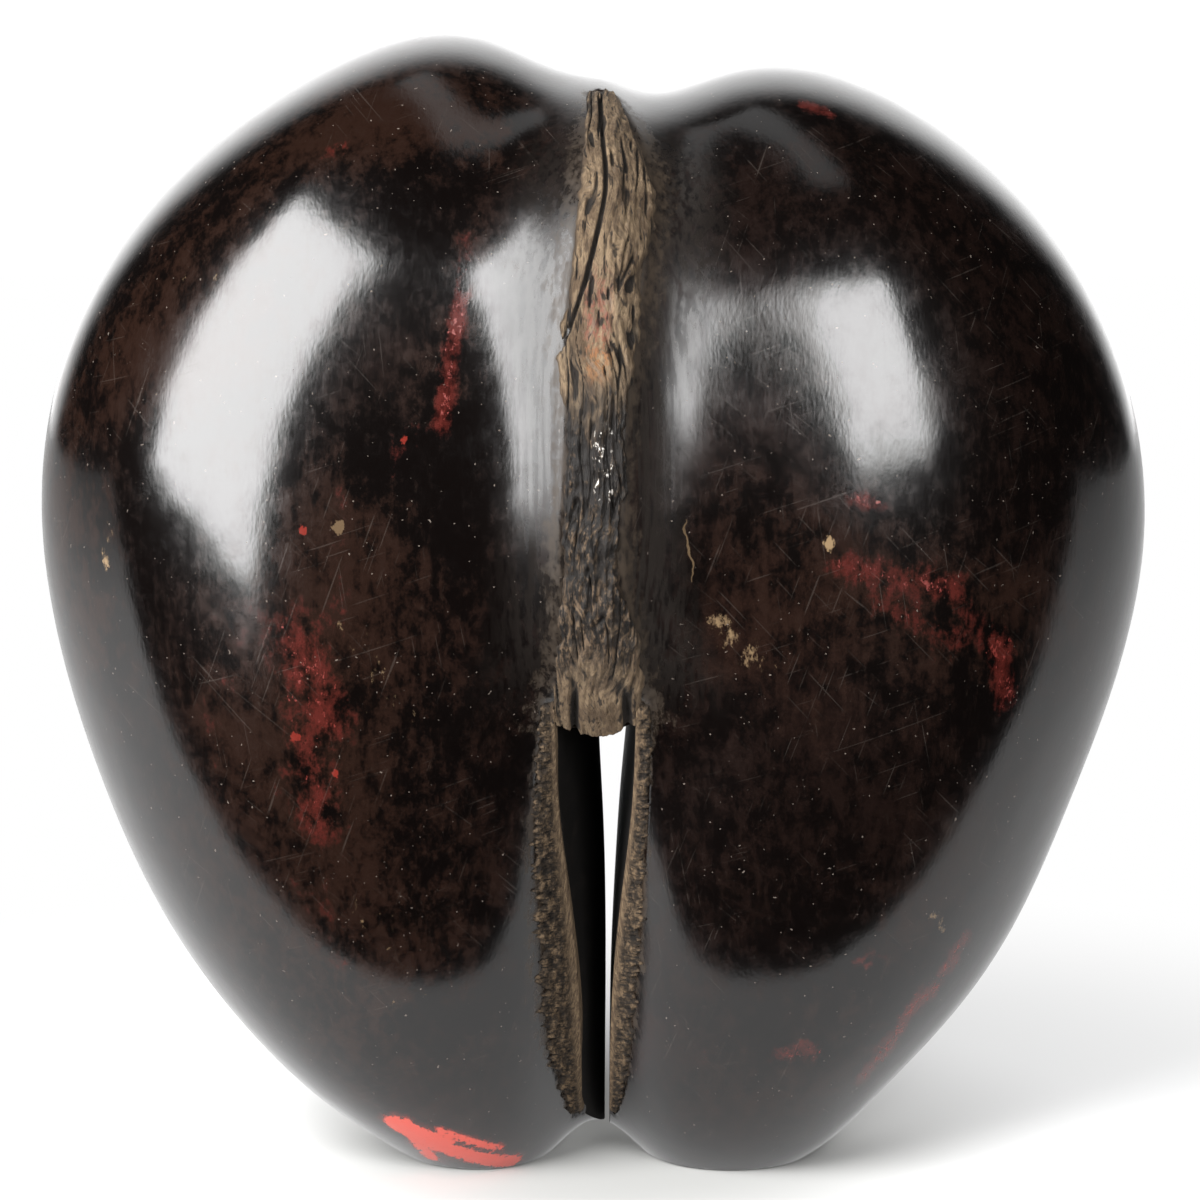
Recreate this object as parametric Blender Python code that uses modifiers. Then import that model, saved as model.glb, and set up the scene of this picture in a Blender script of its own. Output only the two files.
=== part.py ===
"""Coco de mer: a polished double nut that stands upright on its two lobe tips.

The nut is one solid. Its skin is the zero surface of a smooth distance field: two egg-shaped lobes, a broad
dome that joins them above and in front, and a keel down the dome's middle. A slit parts the lobes below.
The fibre that is left on the keel and along both lips of the slit is raised from that skin.
Metres, +Z up. The front, which carries the fibre, faces -Y.
"""

import math

import bmesh
import bpy
import numpy as np
from mathutils import Matrix, noise, Vector

# Driving dimensions, in metres
HEIGHT_LEFT = 0.290  # top of the higher hump, at -X
HEIGHT_RIGHT = 0.2815  # top of the lower hump, at +X
TIP_BELOW = 0.008  # how far each tip would reach below its worn foot
CORE_X = 0.062  # the shell's core line runs level between -CORE_X and +CORE_X
CORE_Y = 0.004
CORE_Z = 0.150

# A lobe's shape by height: each list has one value for each of these heights
LOBE_HEIGHTS = (-0.010, 0.045, 0.100, 0.155, 0.210, 0.265, 0.300)
LOBE_AXIS_X = (0.0310, 0.0465, 0.0580, 0.0635, 0.0630, 0.0530, 0.0400)
LOBE_OUTER = (0.0570, 0.0690, 0.0720, 0.0768, 0.0795, 0.0770, 0.0740)
LOBE_INNER = (0.0740, 0.0740, 0.0740, 0.0750, 0.0750, 0.0740, 0.0720)
LOBE_FRONT = (0.0660, 0.0690, 0.0710, 0.0720, 0.0720, 0.0740, 0.0780)
LOBE_BACK = (0.0640, 0.0710, 0.0800, 0.0880, 0.0930, 0.0950, 0.0960)
LOBE_AXIS_Y = (-0.003, -0.003, -0.003, -0.003, -0.003, 0.0010, 0.0050)
TURN_WIDTH = 0.030  # over this width a section changes from its inner to its outer half
# Each lobe is pulled in this far, most at this height and fading over this height on either side of it
LEFT_HUMP_IN = (0.0060, 0.300, 0.035)
RIGHT_FLANK_IN = (0.0025, 0.090, 0.040)
RIGHT_SHOULDER_OUT = (0.0014, 0.245, 0.028)  # and stands out this far here
LOBE_RADIUS = 0.080  # turns the lobe's gauge into metres
FULLNESS = 2.8  # over 2 makes the upper half of a lobe or egg fuller and its top flatter
FEET_LEAN = (0.0030, 0.014)  # the tips lie this far towards +X, fading over this height

# The dome that joins the lobes, and the keel that runs down its middle. Each is an egg, given by how far it
# reaches to the left and right, to the front and back, and up
DOME_SIDES = (0.104, 0.104)
DOME_DEPTHS = (0.074, 0.034)
DOME_HEIGHT = 0.086
DOME_CENTRE = (0.002, -0.003, 0.181)
DOME_RADIUS = 0.080
KEEL_SIDES = (0.0215, 0.0140)
KEEL_DEPTHS = (0.052, 0.052)
KEEL_HEIGHT = 0.075
KEEL_CENTRE = (0.002, -0.026, 0.183)
KEEL_RADIUS = 0.035
BLEND_FRONT = 0.0090  # softness of the valleys beside the keel
BLEND_BACK = 0.0060  # softness of the groove down the back
# In front the lobes turn in towards the slit: by how much, over what half width, below what height
VALLEY_DEPTH = 0.0060
VALLEY_WIDTH = 0.0140
VALLEY_TOP = 0.130
VALLEY_FADE = 0.012

# The slit between the lobes
SLIT_TOP = 0.122
SLIT_ROOF_SAG = 0.0025  # the roof hangs this much lower in its middle
SLIT_ROOF_RISE = 0.010  # and is this much higher at the back
# By height: its half width in front, how far forward its front edges lie, and its half width and middle at
# the waist, which is at mid depth
SLIT_HEIGHTS = (-0.020, 0.015, 0.045, 0.065, 0.085, 0.102, 0.125)
SLIT_FRONT_HALF = (0.0040, 0.0038, 0.0042, 0.0054, 0.0075, 0.0092, 0.0100)
SLIT_FRONT_DEPTH = (0.010, 0.0175, 0.0360, 0.0420, 0.0472, 0.0524, 0.0655)
SLIT_WAIST_HALF = (0.0006, 0.0006, 0.0008, 0.0014, 0.0024, 0.0037, 0.0050)
SLIT_WAIST_X = (0.0034, 0.0034, 0.0038, 0.0043, 0.0047, 0.0051, 0.0056)
SLIT_FRONT_X = 0.0004
SLIT_BACK_FLARE = 0.4  # share of the front's flare that the back has
SLIT_BACK_DEPTH = 0.070
SLIT_REACH = 0.120  # the cutter's half length along Y
SLIT_FOOT = -0.020  # and its lower end
SLIT_CUTS = 9

# Fibre: half width and middle of the keel's band by height, and the bands on both lips of the slit
BAND_HEIGHTS = (0.112, 0.130, 0.145, 0.165, 0.200, 0.225, 0.245, 0.262, 0.277)
BAND_HALF = (0.0130, 0.0125, 0.0098, 0.0086, 0.0080, 0.0102, 0.0102, 0.0085, 0.0034)
BAND_MIDDLE = (0.0010, 0.0010, 0.0008, -0.0004, 0.0004, 0.0020, 0.0048, 0.0052, 0.0014)
BAND_CENTRE_X = 0.002
BAND_ANGLES = (14.0, 116.0)  # degrees from straight up, about the core line, towards the front
SUNK_EDGE = 1.3  # a band with its edges under the skin is this much wider than what shows of it
LIP_HEIGHTS = (0.012, 0.025, 0.044, 0.061, 0.085, 0.105, 0.123, 0.130)
LIP_WIDTH_LEFT = (0.0020, 0.0055, 0.0088, 0.0088, 0.0076, 0.0056, 0.0036, 0.0034)
LIP_WIDTH_RIGHT = (0.0012, 0.0035, 0.0050, 0.0056, 0.0044, 0.0032, 0.0036, 0.0034)
LIP_OVERLAP = 0.004  # a lip's band starts this far inside the slit, which cuts it off again
LIP_ANGLES = (108.0, 166.0)
FIBRE_SINK = 0.0012  # a band's edges lie this deep under the skin
FIBRE_LIFT = 0.0006  # and its middle stands this much proud
FIBRE_RIDGE = 0.0007
FIBRE_PITCH = 0.0042
FIBRE_THICKNESS = 0.005
FIBRE_WANDER = 22  # bends of the ridges, per metre of height
FIBRE_GRAIN = (260, 70)  # roughness of the fibre, per metre across and along
BAND_GRID = (15, 46)  # points across and along the keel's band
LIP_GRID = (6, 34)
END_SHARPNESS = 24  # a band dives under the skin within about 1/12 of its half length from each end

SHELL_SEGMENTS = 64  # round each slice
SHELL_SLICES = 50  # from side to side
CENTRE_SHARE = 0.62  # share of the slices that lie across the core line
SECTION_RATIO = 0.62  # depth of the nut over its height

MARCH_STEP = 0.003
MARCH_LIMIT = 0.21
BISECTIONS = 24


def smooth_curve(stations, values):
    """The natural cubic spline through the values, as a function of the station."""
    x, y = np.array(stations), np.array(values)
    gap = np.diff(x)
    system = np.eye(len(x))
    right = np.zeros(len(x))
    for i in range(1, len(x) - 1):
        system[i, i - 1 : i + 2] = gap[i - 1], 2 * (gap[i - 1] + gap[i]), gap[i]
        right[i] = 6 * ((y[i + 1] - y[i]) / gap[i] - (y[i] - y[i - 1]) / gap[i - 1])
    bend = np.linalg.solve(system, right)

    def value(at):
        at = np.clip(at, x[0], x[-1])
        i = np.clip(np.searchsorted(x, at) - 1, 0, len(x) - 2)
        left, after, width = x[i + 1] - at, at - x[i], gap[i]
        return (
            (bend[i] * left**3 + bend[i + 1] * after**3) / (6 * width)
            + (y[i] / width - bend[i] * width / 6) * left
            + (y[i + 1] / width - bend[i + 1] * width / 6) * after
        )

    return value


axis_x = smooth_curve(LOBE_HEIGHTS, LOBE_AXIS_X)
axis_y = smooth_curve(LOBE_HEIGHTS, LOBE_AXIS_Y)
outer_half = smooth_curve(LOBE_HEIGHTS, LOBE_OUTER)
inner_half = smooth_curve(LOBE_HEIGHTS, LOBE_INNER)
front_half = smooth_curve(LOBE_HEIGHTS, LOBE_FRONT)
back_half = smooth_curve(LOBE_HEIGHTS, LOBE_BACK)
slit_front_half = smooth_curve(SLIT_HEIGHTS, SLIT_FRONT_HALF)
slit_front_depth = smooth_curve(SLIT_HEIGHTS, SLIT_FRONT_DEPTH)
slit_waist_half = smooth_curve(SLIT_HEIGHTS, SLIT_WAIST_HALF)
slit_waist_x = smooth_curve(SLIT_HEIGHTS, SLIT_WAIST_X)
band_half = smooth_curve(BAND_HEIGHTS, BAND_HALF)
band_middle = smooth_curve(BAND_HEIGHTS, BAND_MIDDLE)
lip_width_left = smooth_curve(LIP_HEIGHTS, LIP_WIDTH_LEFT)
lip_width_right = smooth_curve(LIP_HEIGHTS, LIP_WIDTH_RIGHT)


def turned(offset, negative, positive):
    """A half width that goes smoothly from its value on the negative side to that on the positive side."""
    return (negative + positive) / 2 + (positive - negative) / 2 * np.tanh(offset / TURN_WIDTH)


def full_gauge(across, deep, high):
    """1 on the skin of an egg whose half widths are 1. Its upper half is fuller than an ellipse's."""
    power = np.where(high > 0, FULLNESS, 2.0)
    upright = (np.abs(deep) ** power + np.abs(high) ** power) ** (2 / power)
    return np.sqrt(across**2 + upright)


def bump(z, shape):
    size, height, reach = shape
    return size * np.exp(-(((z - height) / reach) ** 2))


def lobe_distance(x, y, z, side):
    """Roughly how far a point is outside one lobe. side is -1 for the left lobe, 1 for the right one."""
    top = HEIGHT_LEFT if side < 0 else HEIGHT_RIGHT
    half_height = (top + TIP_BELOW) / 2
    middle = top - half_height
    lean = FEET_LEAN[0] * np.exp(-((z / FEET_LEAN[1]) ** 2))
    across = (x - lean) * side - axis_x(z)
    if side < 0:
        across = across + bump(z, LEFT_HUMP_IN)
    else:
        across = across + bump(z, RIGHT_FLANK_IN) - bump(z, RIGHT_SHOULDER_OUT)
    deep = y - axis_y(z)
    half_x = turned(across, inner_half(z), outer_half(z))
    half_y = turned(deep, front_half(z), back_half(z))
    return (full_gauge(across / half_x, deep / half_y, (z - middle) / half_height) - 1) * LOBE_RADIUS


def egg_distance(x, y, z, centre, sides, depths, height, radius):
    """Roughly how far a point is outside an egg, reaching sides left and right, depths front and back."""
    across, deep, high = x - centre[0], y - centre[1], z - centre[2]
    half_x = np.where(across < 0, *sides)
    half_y = turned(deep, *depths)
    return (full_gauge(across / half_x, deep / half_y, high / height) - 1) * radius


def nut_distance(points):
    """Roughly how far each point is outside the nut, before the slit is cut."""
    x, y, z = points.T
    blend = turned(y, BLEND_FRONT, BLEND_BACK)
    parts = (
        lobe_distance(x, y, z, -1),
        lobe_distance(x, y, z, 1),
        egg_distance(x, y, z, DOME_CENTRE, DOME_SIDES, DOME_DEPTHS, DOME_HEIGHT, DOME_RADIUS),
        egg_distance(x, y, z, KEEL_CENTRE, KEEL_SIDES, KEEL_DEPTHS, KEEL_HEIGHT, KEEL_RADIUS),
    )
    low = (1 - np.tanh((z - VALLEY_TOP) / VALLEY_FADE)) / 2
    front = (1 - np.tanh(y / TURN_WIDTH)) / 2
    valley = VALLEY_DEPTH * low * front * np.exp(-((x / VALLEY_WIDTH) ** 2))
    return valley - blend * np.log(sum(np.exp(-part / blend) for part in parts))


def skin_points(origins, directions):
    """Where rays from inside the nut leave it."""
    inside = np.zeros(len(origins))
    outside = np.full(len(origins), MARCH_LIMIT)
    for reach in np.arange(MARCH_STEP, MARCH_LIMIT, MARCH_STEP):
        still_in = nut_distance(origins + directions * reach) < 0
        open_rays = outside == MARCH_LIMIT
        inside = np.where(still_in & open_rays, reach, inside)
        outside = np.where(~still_in & open_rays, reach, outside)
    for _ in range(BISECTIONS):
        middle = (inside + outside) / 2
        still_in = nut_distance(origins + directions * middle[:, None]) < 0
        inside, outside = np.where(still_in, middle, inside), np.where(still_in, outside, middle)
    return origins + directions * inside[:, None]


def core_rays(x, angle, tilt=0.0):
    """Rays from the core line. angle turns from straight up to the front, and tilt leans out along X."""
    x, angle, tilt = np.broadcast_arrays(x, angle, tilt)
    level = np.cos(tilt)
    origins = np.stack([x, np.full(x.shape, CORE_Y), np.full(x.shape, CORE_Z)], axis=-1)
    directions = np.stack([np.sin(tilt), -level * np.sin(angle), level * np.cos(angle)], axis=-1)
    return origins.reshape(-1, 3), directions.reshape(-1, 3)


def even_angle(angle):
    """Crowds a circle's angles so that points on the nut's tall outline lie evenly."""
    return np.arctan2(SECTION_RATIO * np.sin(angle), np.cos(angle))


def material(name, colour, roughness):
    made = bpy.data.materials.new(name)
    made.use_nodes = True
    shader = made.node_tree.nodes["Principled BSDF"]
    shader.inputs["Base Color"].default_value = (*colour, 1)
    shader.inputs["Roughness"].default_value = roughness
    shader.inputs["Metallic"].default_value = 0
    made.diffuse_color = (*colour, 1)
    return made


def new_object(name, mesh_source, collection):
    mesh = bpy.data.meshes.new(name)
    mesh_source.to_mesh(mesh)
    mesh_source.free()
    made = bpy.data.objects.new(name, mesh)
    collection.objects.link(made)
    return made


def shell(collection):
    """The polished shell: a sphere with its poles at the nut's sides, each point moved out to the skin."""
    bm = bmesh.new()
    sideways = Matrix.Rotation(math.pi / 2, 4, "Y")
    bmesh.ops.create_uvsphere(
        bm, u_segments=SHELL_SEGMENTS, v_segments=SHELL_SLICES, radius=1, matrix=sideways
    )
    unit = np.array([v.co for v in bm.verts])
    across = 2 / math.pi * np.arcsin(np.clip(unit[:, 0], -1, 1))
    angle = even_angle(np.arctan2(-unit[:, 1], unit[:, 2]))
    core = np.clip(across / CENTRE_SHARE, -1, 1)
    past_core = np.sign(across) * np.clip(np.abs(across) - CENTRE_SHARE, 0, 1) / (1 - CENTRE_SHARE)
    tilt = past_core * math.pi / 2
    for vertex, place in zip(bm.verts, skin_points(*core_rays(core * CORE_X, angle, tilt))):
        vertex.co = place
    wear_feet(bm)
    return new_object("nut", bm, collection)


def wear_feet(bm):
    """Each lobe tip is worn flat where the nut stands."""
    cut = bmesh.ops.bisect_plane(
        bm, geom=[*bm.verts, *bm.edges, *bm.faces], plane_co=(0, 0, 0), plane_no=(0, 0, 1), clear_inner=True
    )
    rims = [e for e in cut["geom_cut"] if isinstance(e, bmesh.types.BMEdge)]
    bmesh.ops.holes_fill(bm, edges=rims, sides=0)
    bmesh.ops.triangulate(bm, faces=[f for f in bm.faces if len(f.verts) > 4])


def fibre_height(across, along, x):
    """How far a fibre band stands off the skin. across runs from -1 to 1, and along is in metres."""
    wander = noise.noise(Vector((0, 0, along * FIBRE_WANDER))) / 2
    ridge = math.cos(2 * math.pi * (x / FIBRE_PITCH + wander))
    rough = noise.noise(Vector((x * FIBRE_GRAIN[0], 0, along * FIBRE_GRAIN[1])))
    rise = 1 - abs(across) ** 3
    return -FIBRE_SINK + rise * (FIBRE_SINK + FIBRE_LIFT + FIBRE_RIDGE * (0.6 * ridge + 0.8 * rough))


def fibre_band(name, place_x, angles, grid, skin, collection):
    """A band of fibre that follows the skin. place_x gives a point's X from its place across the band."""
    bm = bmesh.new()
    bmesh.ops.create_grid(bm, x_segments=grid[0], y_segments=grid[1], size=1)
    across = np.array([v.co.x for v in bm.verts])
    along = np.array([v.co.y for v in bm.verts])
    angle = np.radians(angles[0] + (angles[1] - angles[0]) * (1 - along) / 2)
    middle = skin_points(*core_rays(np.full(len(angle), BAND_CENTRE_X), angle))
    x = place_x(across, middle[:, 2])
    places = skin_points(*core_rays(x, angle))
    ends = 1 - np.abs(along) ** END_SHARPNESS
    for vertex, place, u, at_end in zip(bm.verts, places, across, ends):
        height = fibre_height(u, place[2], place[0])
        outwards = skin_normal(place)
        vertex.co = Vector(place) + outwards * (height * at_end - FIBRE_SINK * (1 - at_end))
    band = new_object(name, bm, collection)
    band.data.materials.append(skin)
    backing = band.modifiers.new("backing", "SOLIDIFY")
    backing.thickness = FIBRE_THICKNESS
    backing.offset = -1
    band.hide_render = True
    band.display_type = "WIRE"
    return band


def skin_normal(place, step=1e-4):
    steps = np.eye(3) * step
    slope = [nut_distance((place + s)[None])[0] - nut_distance((place - s)[None])[0] for s in steps]
    return Vector(slope).normalized()


def slit_section(y, z):
    """Middle and half width of the slit: widest in front, waisted, and open a little to the back."""
    ahead = np.clip(-y / slit_front_depth(z), 0, 1) ** 1.5
    behind = SLIT_BACK_FLARE * np.clip(y / SLIT_BACK_DEPTH, 0, 1) ** 2
    flare = np.where(y < 0, ahead, behind)
    middle = slit_waist_x(z) + (SLIT_FRONT_X - slit_waist_x(z)) * flare
    return middle, slit_waist_half(z) + (slit_front_half(z) - slit_waist_half(z)) * flare


def slit_cutter(collection):
    """The space between the lobes, as a block that is waisted, flared and arched along its roof."""
    bm = bmesh.new()
    bmesh.ops.create_cube(bm, size=2)
    bmesh.ops.subdivide_edges(bm, edges=bm.edges[:], cuts=SLIT_CUTS, use_grid_fill=True)
    for vertex in bm.verts:
        across, y, up = vertex.co.x, vertex.co.y * SLIT_REACH, (vertex.co.z + 1) / 2
        roof = SLIT_TOP - SLIT_ROOF_SAG * (1 - across**2) + SLIT_ROOF_RISE * (0.5 + y / SLIT_REACH / 2)
        z = SLIT_FOOT + (roof - SLIT_FOOT) * up
        middle, half = slit_section(y, z)
        vertex.co = (middle + across * half, y, z)
    cutter = new_object("slit_cutter", bm, collection)
    cutter.hide_render = True
    cutter.display_type = "WIRE"
    return cutter


def boolean(target, name, operation, operand):
    modifier = target.modifiers.new(name, "BOOLEAN")
    modifier.operation = operation
    modifier.solver = "EXACT"
    if isinstance(operand, bpy.types.Collection):
        modifier.operand_type = "COLLECTION"
        modifier.collection = operand
    else:
        modifier.object = operand


def lip_place(side, width):
    """Across a lip's band, X runs from inside the slit to the band's outer edge."""

    def place_x(across, z):
        middle, half = slit_section(-slit_front_depth(z), z)
        outwards = (side * across + 1) / 2
        return middle + side * (half - LIP_OVERLAP + (width(z) * SUNK_EDGE + LIP_OVERLAP) * outwards)

    return place_x


def main():
    for obj in list(bpy.data.objects):
        bpy.data.objects.remove(obj)
    scene = bpy.context.scene
    parts, cutters, fibre = (bpy.data.collections.new(name) for name in ("coco_de_mer", "cutters", "fibre"))
    for collection in (parts, cutters, fibre):
        scene.collection.children.link(collection)

    polished = material("polished_shell", (0.020, 0.010, 0.008), 0.22)
    rough = material("husk_fibre", (0.170, 0.105, 0.060), 0.85)

    nut = shell(parts)
    nut.data.materials.append(polished)
    nut.data.materials.append(rough)
    nut.data.shade_smooth()

    def band_place(across, z):
        return band_middle(z) + across * band_half(z) * SUNK_EDGE

    fibre_band("keel_band", band_place, BAND_ANGLES, BAND_GRID, rough, fibre)
    for side, name, width in ((-1, "left_lip", lip_width_left), (1, "right_lip", lip_width_right)):
        fibre_band(name, lip_place(side, width), LIP_ANGLES, LIP_GRID, rough, fibre)
    boolean(nut, "fibre", "UNION", fibre)
    boolean(nut, "slit", "DIFFERENCE", slit_cutter(cutters))


main()
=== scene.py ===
"""The looks of a coco de mer: its polished shell, the husk fibre left on it, and a pale studio.

The shell follows the same smooth field as the solid: two egg-shaped lobes, the dome that joins them above and
in front, and the keel down the middle of the dome. A slit parts the lobes below. The fibre is separate relief
that lies on the keel, round the slit's roof and on both lips of the slit.
"""

import math

import bmesh
import bpy
import numpy as np
from mathutils import Matrix, Vector, noise

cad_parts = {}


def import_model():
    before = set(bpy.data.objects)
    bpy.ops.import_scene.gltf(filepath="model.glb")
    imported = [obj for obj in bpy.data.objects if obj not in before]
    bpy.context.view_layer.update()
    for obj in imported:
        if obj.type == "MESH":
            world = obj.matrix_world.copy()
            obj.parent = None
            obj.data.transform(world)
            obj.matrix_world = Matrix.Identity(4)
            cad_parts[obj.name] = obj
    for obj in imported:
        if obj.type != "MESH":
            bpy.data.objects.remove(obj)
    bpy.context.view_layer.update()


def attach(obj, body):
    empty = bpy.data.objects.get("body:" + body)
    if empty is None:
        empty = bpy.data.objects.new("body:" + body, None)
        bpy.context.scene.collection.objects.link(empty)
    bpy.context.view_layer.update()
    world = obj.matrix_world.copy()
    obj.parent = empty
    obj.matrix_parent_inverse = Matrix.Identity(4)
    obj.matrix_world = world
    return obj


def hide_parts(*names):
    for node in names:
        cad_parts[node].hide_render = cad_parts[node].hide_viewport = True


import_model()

# Camera, as the photograph was taken
CAMERA_TARGET = Vector((0.0015, 0.0, 0.1445))
CAMERA_ELEVATION = 9.0
CAMERA_DISTANCE = 1.03
LENS = 120.0
SENSOR = 36.0
PICTURE_SIZE = 1200

# The nut's form, in metres: the solid's own values
HEIGHT_LEFT = 0.290
HEIGHT_RIGHT = 0.2815
TIP_BELOW = 0.008
CORE_X = 0.062
CORE_Y = 0.004
CORE_Z = 0.150
LOBE_HEIGHTS = (-0.010, 0.045, 0.100, 0.155, 0.210, 0.265, 0.300)
LOBE_AXIS_X = (0.0310, 0.0465, 0.0580, 0.0635, 0.0630, 0.0530, 0.0400)
LOBE_OUTER = (0.0570, 0.0690, 0.0720, 0.0768, 0.0795, 0.0770, 0.0740)
LOBE_INNER = (0.0740, 0.0740, 0.0740, 0.0750, 0.0750, 0.0740, 0.0720)
LOBE_FRONT = (0.0660, 0.0690, 0.0710, 0.0720, 0.0720, 0.0740, 0.0780)
LOBE_BACK = (0.0640, 0.0710, 0.0800, 0.0880, 0.0930, 0.0950, 0.0960)
LOBE_AXIS_Y = (-0.003, -0.003, -0.003, -0.003, -0.003, 0.0010, 0.0050)
TURN_WIDTH = 0.030
LEFT_HUMP_IN = (0.0060, 0.300, 0.035)
RIGHT_FLANK_IN = (0.0025, 0.090, 0.040)
LOBE_RADIUS = 0.080  # turns the lobe's gauge into metres
FULLNESS = 2.8  # over 2 makes the upper half of a lobe or egg fuller and its top flatter
FEET_LEAN = (0.0030, 0.014)  # the tips lie this far towards +X, fading over this height
RIGHT_SHOULDER_OUT = (0.0014, 0.245, 0.028)
DOME_SIDES = (0.104, 0.104)
DOME_DEPTHS = (0.074, 0.034)
DOME_HEIGHT = 0.086
DOME_CENTRE = (0.002, -0.003, 0.181)
DOME_RADIUS = 0.080
KEEL_SIDES = (0.0215, 0.0140)
KEEL_DEPTHS = (0.052, 0.052)
KEEL_HEIGHT = 0.075
KEEL_CENTRE = (0.002, -0.026, 0.183)
KEEL_RADIUS = 0.035
BLEND_FRONT = 0.0090
BLEND_BACK = 0.0060
VALLEY_DEPTH = 0.0060
VALLEY_WIDTH = 0.0140
VALLEY_TOP = 0.130
VALLEY_FADE = 0.012

# The slit, by height
SLIT_TOP = 0.122
SLIT_ROOF_SAG = 0.0025
SLIT_ROOF_RISE = 0.010
SLIT_HEIGHTS = (-0.020, 0.015, 0.045, 0.065, 0.085, 0.102, 0.125)
SLIT_FRONT_HALF = (0.0040, 0.0038, 0.0042, 0.0054, 0.0075, 0.0092, 0.0100)
SLIT_FRONT_DEPTH = (0.010, 0.0175, 0.0360, 0.0420, 0.0472, 0.0524, 0.0655)
SLIT_WAIST_HALF = (0.0006, 0.0006, 0.0008, 0.0014, 0.0024, 0.0037, 0.0050)
SLIT_WAIST_X = (0.0034, 0.0034, 0.0038, 0.0043, 0.0047, 0.0051, 0.0056)
SLIT_FRONT_X = 0.0004
SLIT_BACK_FLARE = 0.4
SLIT_BACK_DEPTH = 0.070
SLIT_REACH = 0.120

# The fibre: the keel's band and the lips of the slit, by height
BAND_HEIGHTS = (0.112, 0.130, 0.145, 0.165, 0.200, 0.225, 0.245, 0.262, 0.277)
BAND_HALF = (0.0130, 0.0125, 0.0098, 0.0086, 0.0080, 0.0102, 0.0102, 0.0085, 0.0034)
BAND_MIDDLE = (0.0010, 0.0010, 0.0008, -0.0004, 0.0004, 0.0020, 0.0048, 0.0052, 0.0014)
BAND_TOP_DEPTH = 0.034  # the band begins this far in front of the core
BAND_TOP_FADE = 0.006
BAND_FOOT_FADE = (-0.004, 0.002)  # the band ends between these heights, from the slit's top
LIP_HEIGHTS = (0.012, 0.025, 0.044, 0.061, 0.085, 0.105, 0.123, 0.130)
LIP_WIDTH_LEFT = (0.0020, 0.0055, 0.0088, 0.0088, 0.0076, 0.0056, 0.0036, 0.0034)
LIP_WIDTH_RIGHT = (0.0012, 0.0035, 0.0050, 0.0056, 0.0044, 0.0032, 0.0036, 0.0034)

# Meshes
SHELL_CUTS = 116
SHELL_INSET = 0.0003  # keeps the smooth skin inside the solid's box
UNEVEN_DEPTH = 0.0005
UNEVEN_SCALE = 17.0
MARCH_STEP = 0.006
MARCH_LIMIT = 0.21
BISECTIONS = 20
TRACE_START = 0.8  # rays from the camera start at this share of its distance
TRACE_STEPS = 150
TRACE_SHARE = 0.6  # and go on by this share of their distance from the nut
CENTRE_SHARE = 0.62
SECTION_RATIO = 0.62


def smooth_curve(stations, values):
    """The natural cubic spline through the values, as a function of the station."""
    x, y = np.array(stations), np.array(values)
    gap = np.diff(x)
    system = np.eye(len(x))
    right = np.zeros(len(x))
    for i in range(1, len(x) - 1):
        system[i, i - 1 : i + 2] = gap[i - 1], 2 * (gap[i - 1] + gap[i]), gap[i]
        right[i] = 6 * ((y[i + 1] - y[i]) / gap[i] - (y[i] - y[i - 1]) / gap[i - 1])
    bend = np.linalg.solve(system, right)

    def value(at):
        at = np.clip(at, x[0], x[-1])
        i = np.clip(np.searchsorted(x, at) - 1, 0, len(x) - 2)
        left, after, width = x[i + 1] - at, at - x[i], gap[i]
        return (
            (bend[i] * left**3 + bend[i + 1] * after**3) / (6 * width)
            + (y[i] / width - bend[i] * width / 6) * left
            + (y[i + 1] / width - bend[i + 1] * width / 6) * after
        )

    return value


def smooth_curves(stations, *rows):
    return [smooth_curve(stations, values) for values in rows]


axis_x, axis_y = smooth_curves(LOBE_HEIGHTS, LOBE_AXIS_X, LOBE_AXIS_Y)
outer_half, inner_half = smooth_curves(LOBE_HEIGHTS, LOBE_OUTER, LOBE_INNER)
front_half, back_half = smooth_curves(LOBE_HEIGHTS, LOBE_FRONT, LOBE_BACK)
slit_front_half, slit_front_depth = smooth_curves(SLIT_HEIGHTS, SLIT_FRONT_HALF, SLIT_FRONT_DEPTH)
slit_waist_half, slit_waist_x = smooth_curves(SLIT_HEIGHTS, SLIT_WAIST_HALF, SLIT_WAIST_X)
band_half, band_middle = smooth_curves(BAND_HEIGHTS, BAND_HALF, BAND_MIDDLE)
lip_width = dict(zip((-1, 1), smooth_curves(LIP_HEIGHTS, LIP_WIDTH_LEFT, LIP_WIDTH_RIGHT)))


def turned(offset, negative, positive):
    return (negative + positive) / 2 + (positive - negative) / 2 * np.tanh(offset / TURN_WIDTH)


def full_gauge(across, deep, high):
    """1 on the skin of an egg whose half widths are 1. Its upper half is fuller than an ellipse's."""
    power = np.where(high > 0, FULLNESS, 2.0)
    upright = (np.abs(deep) ** power + np.abs(high) ** power) ** (2 / power)
    return np.sqrt(across**2 + upright)


def bump(z, shape):
    size, height, reach = shape
    return size * np.exp(-(((z - height) / reach) ** 2))


def lobe_distance(x, y, z, side):
    """Roughly how far a point is outside one lobe. side is -1 for the left lobe, 1 for the right one."""
    top = HEIGHT_LEFT if side < 0 else HEIGHT_RIGHT
    half_height = (top + TIP_BELOW) / 2
    middle = top - half_height
    lean = FEET_LEAN[0] * np.exp(-((z / FEET_LEAN[1]) ** 2))
    across = (x - lean) * side - axis_x(z)
    if side < 0:
        across = across + bump(z, LEFT_HUMP_IN)
    else:
        across = across + bump(z, RIGHT_FLANK_IN) - bump(z, RIGHT_SHOULDER_OUT)
    deep = y - axis_y(z)
    half_x = turned(across, inner_half(z), outer_half(z))
    half_y = turned(deep, front_half(z), back_half(z))
    return (full_gauge(across / half_x, deep / half_y, (z - middle) / half_height) - 1) * LOBE_RADIUS


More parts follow.
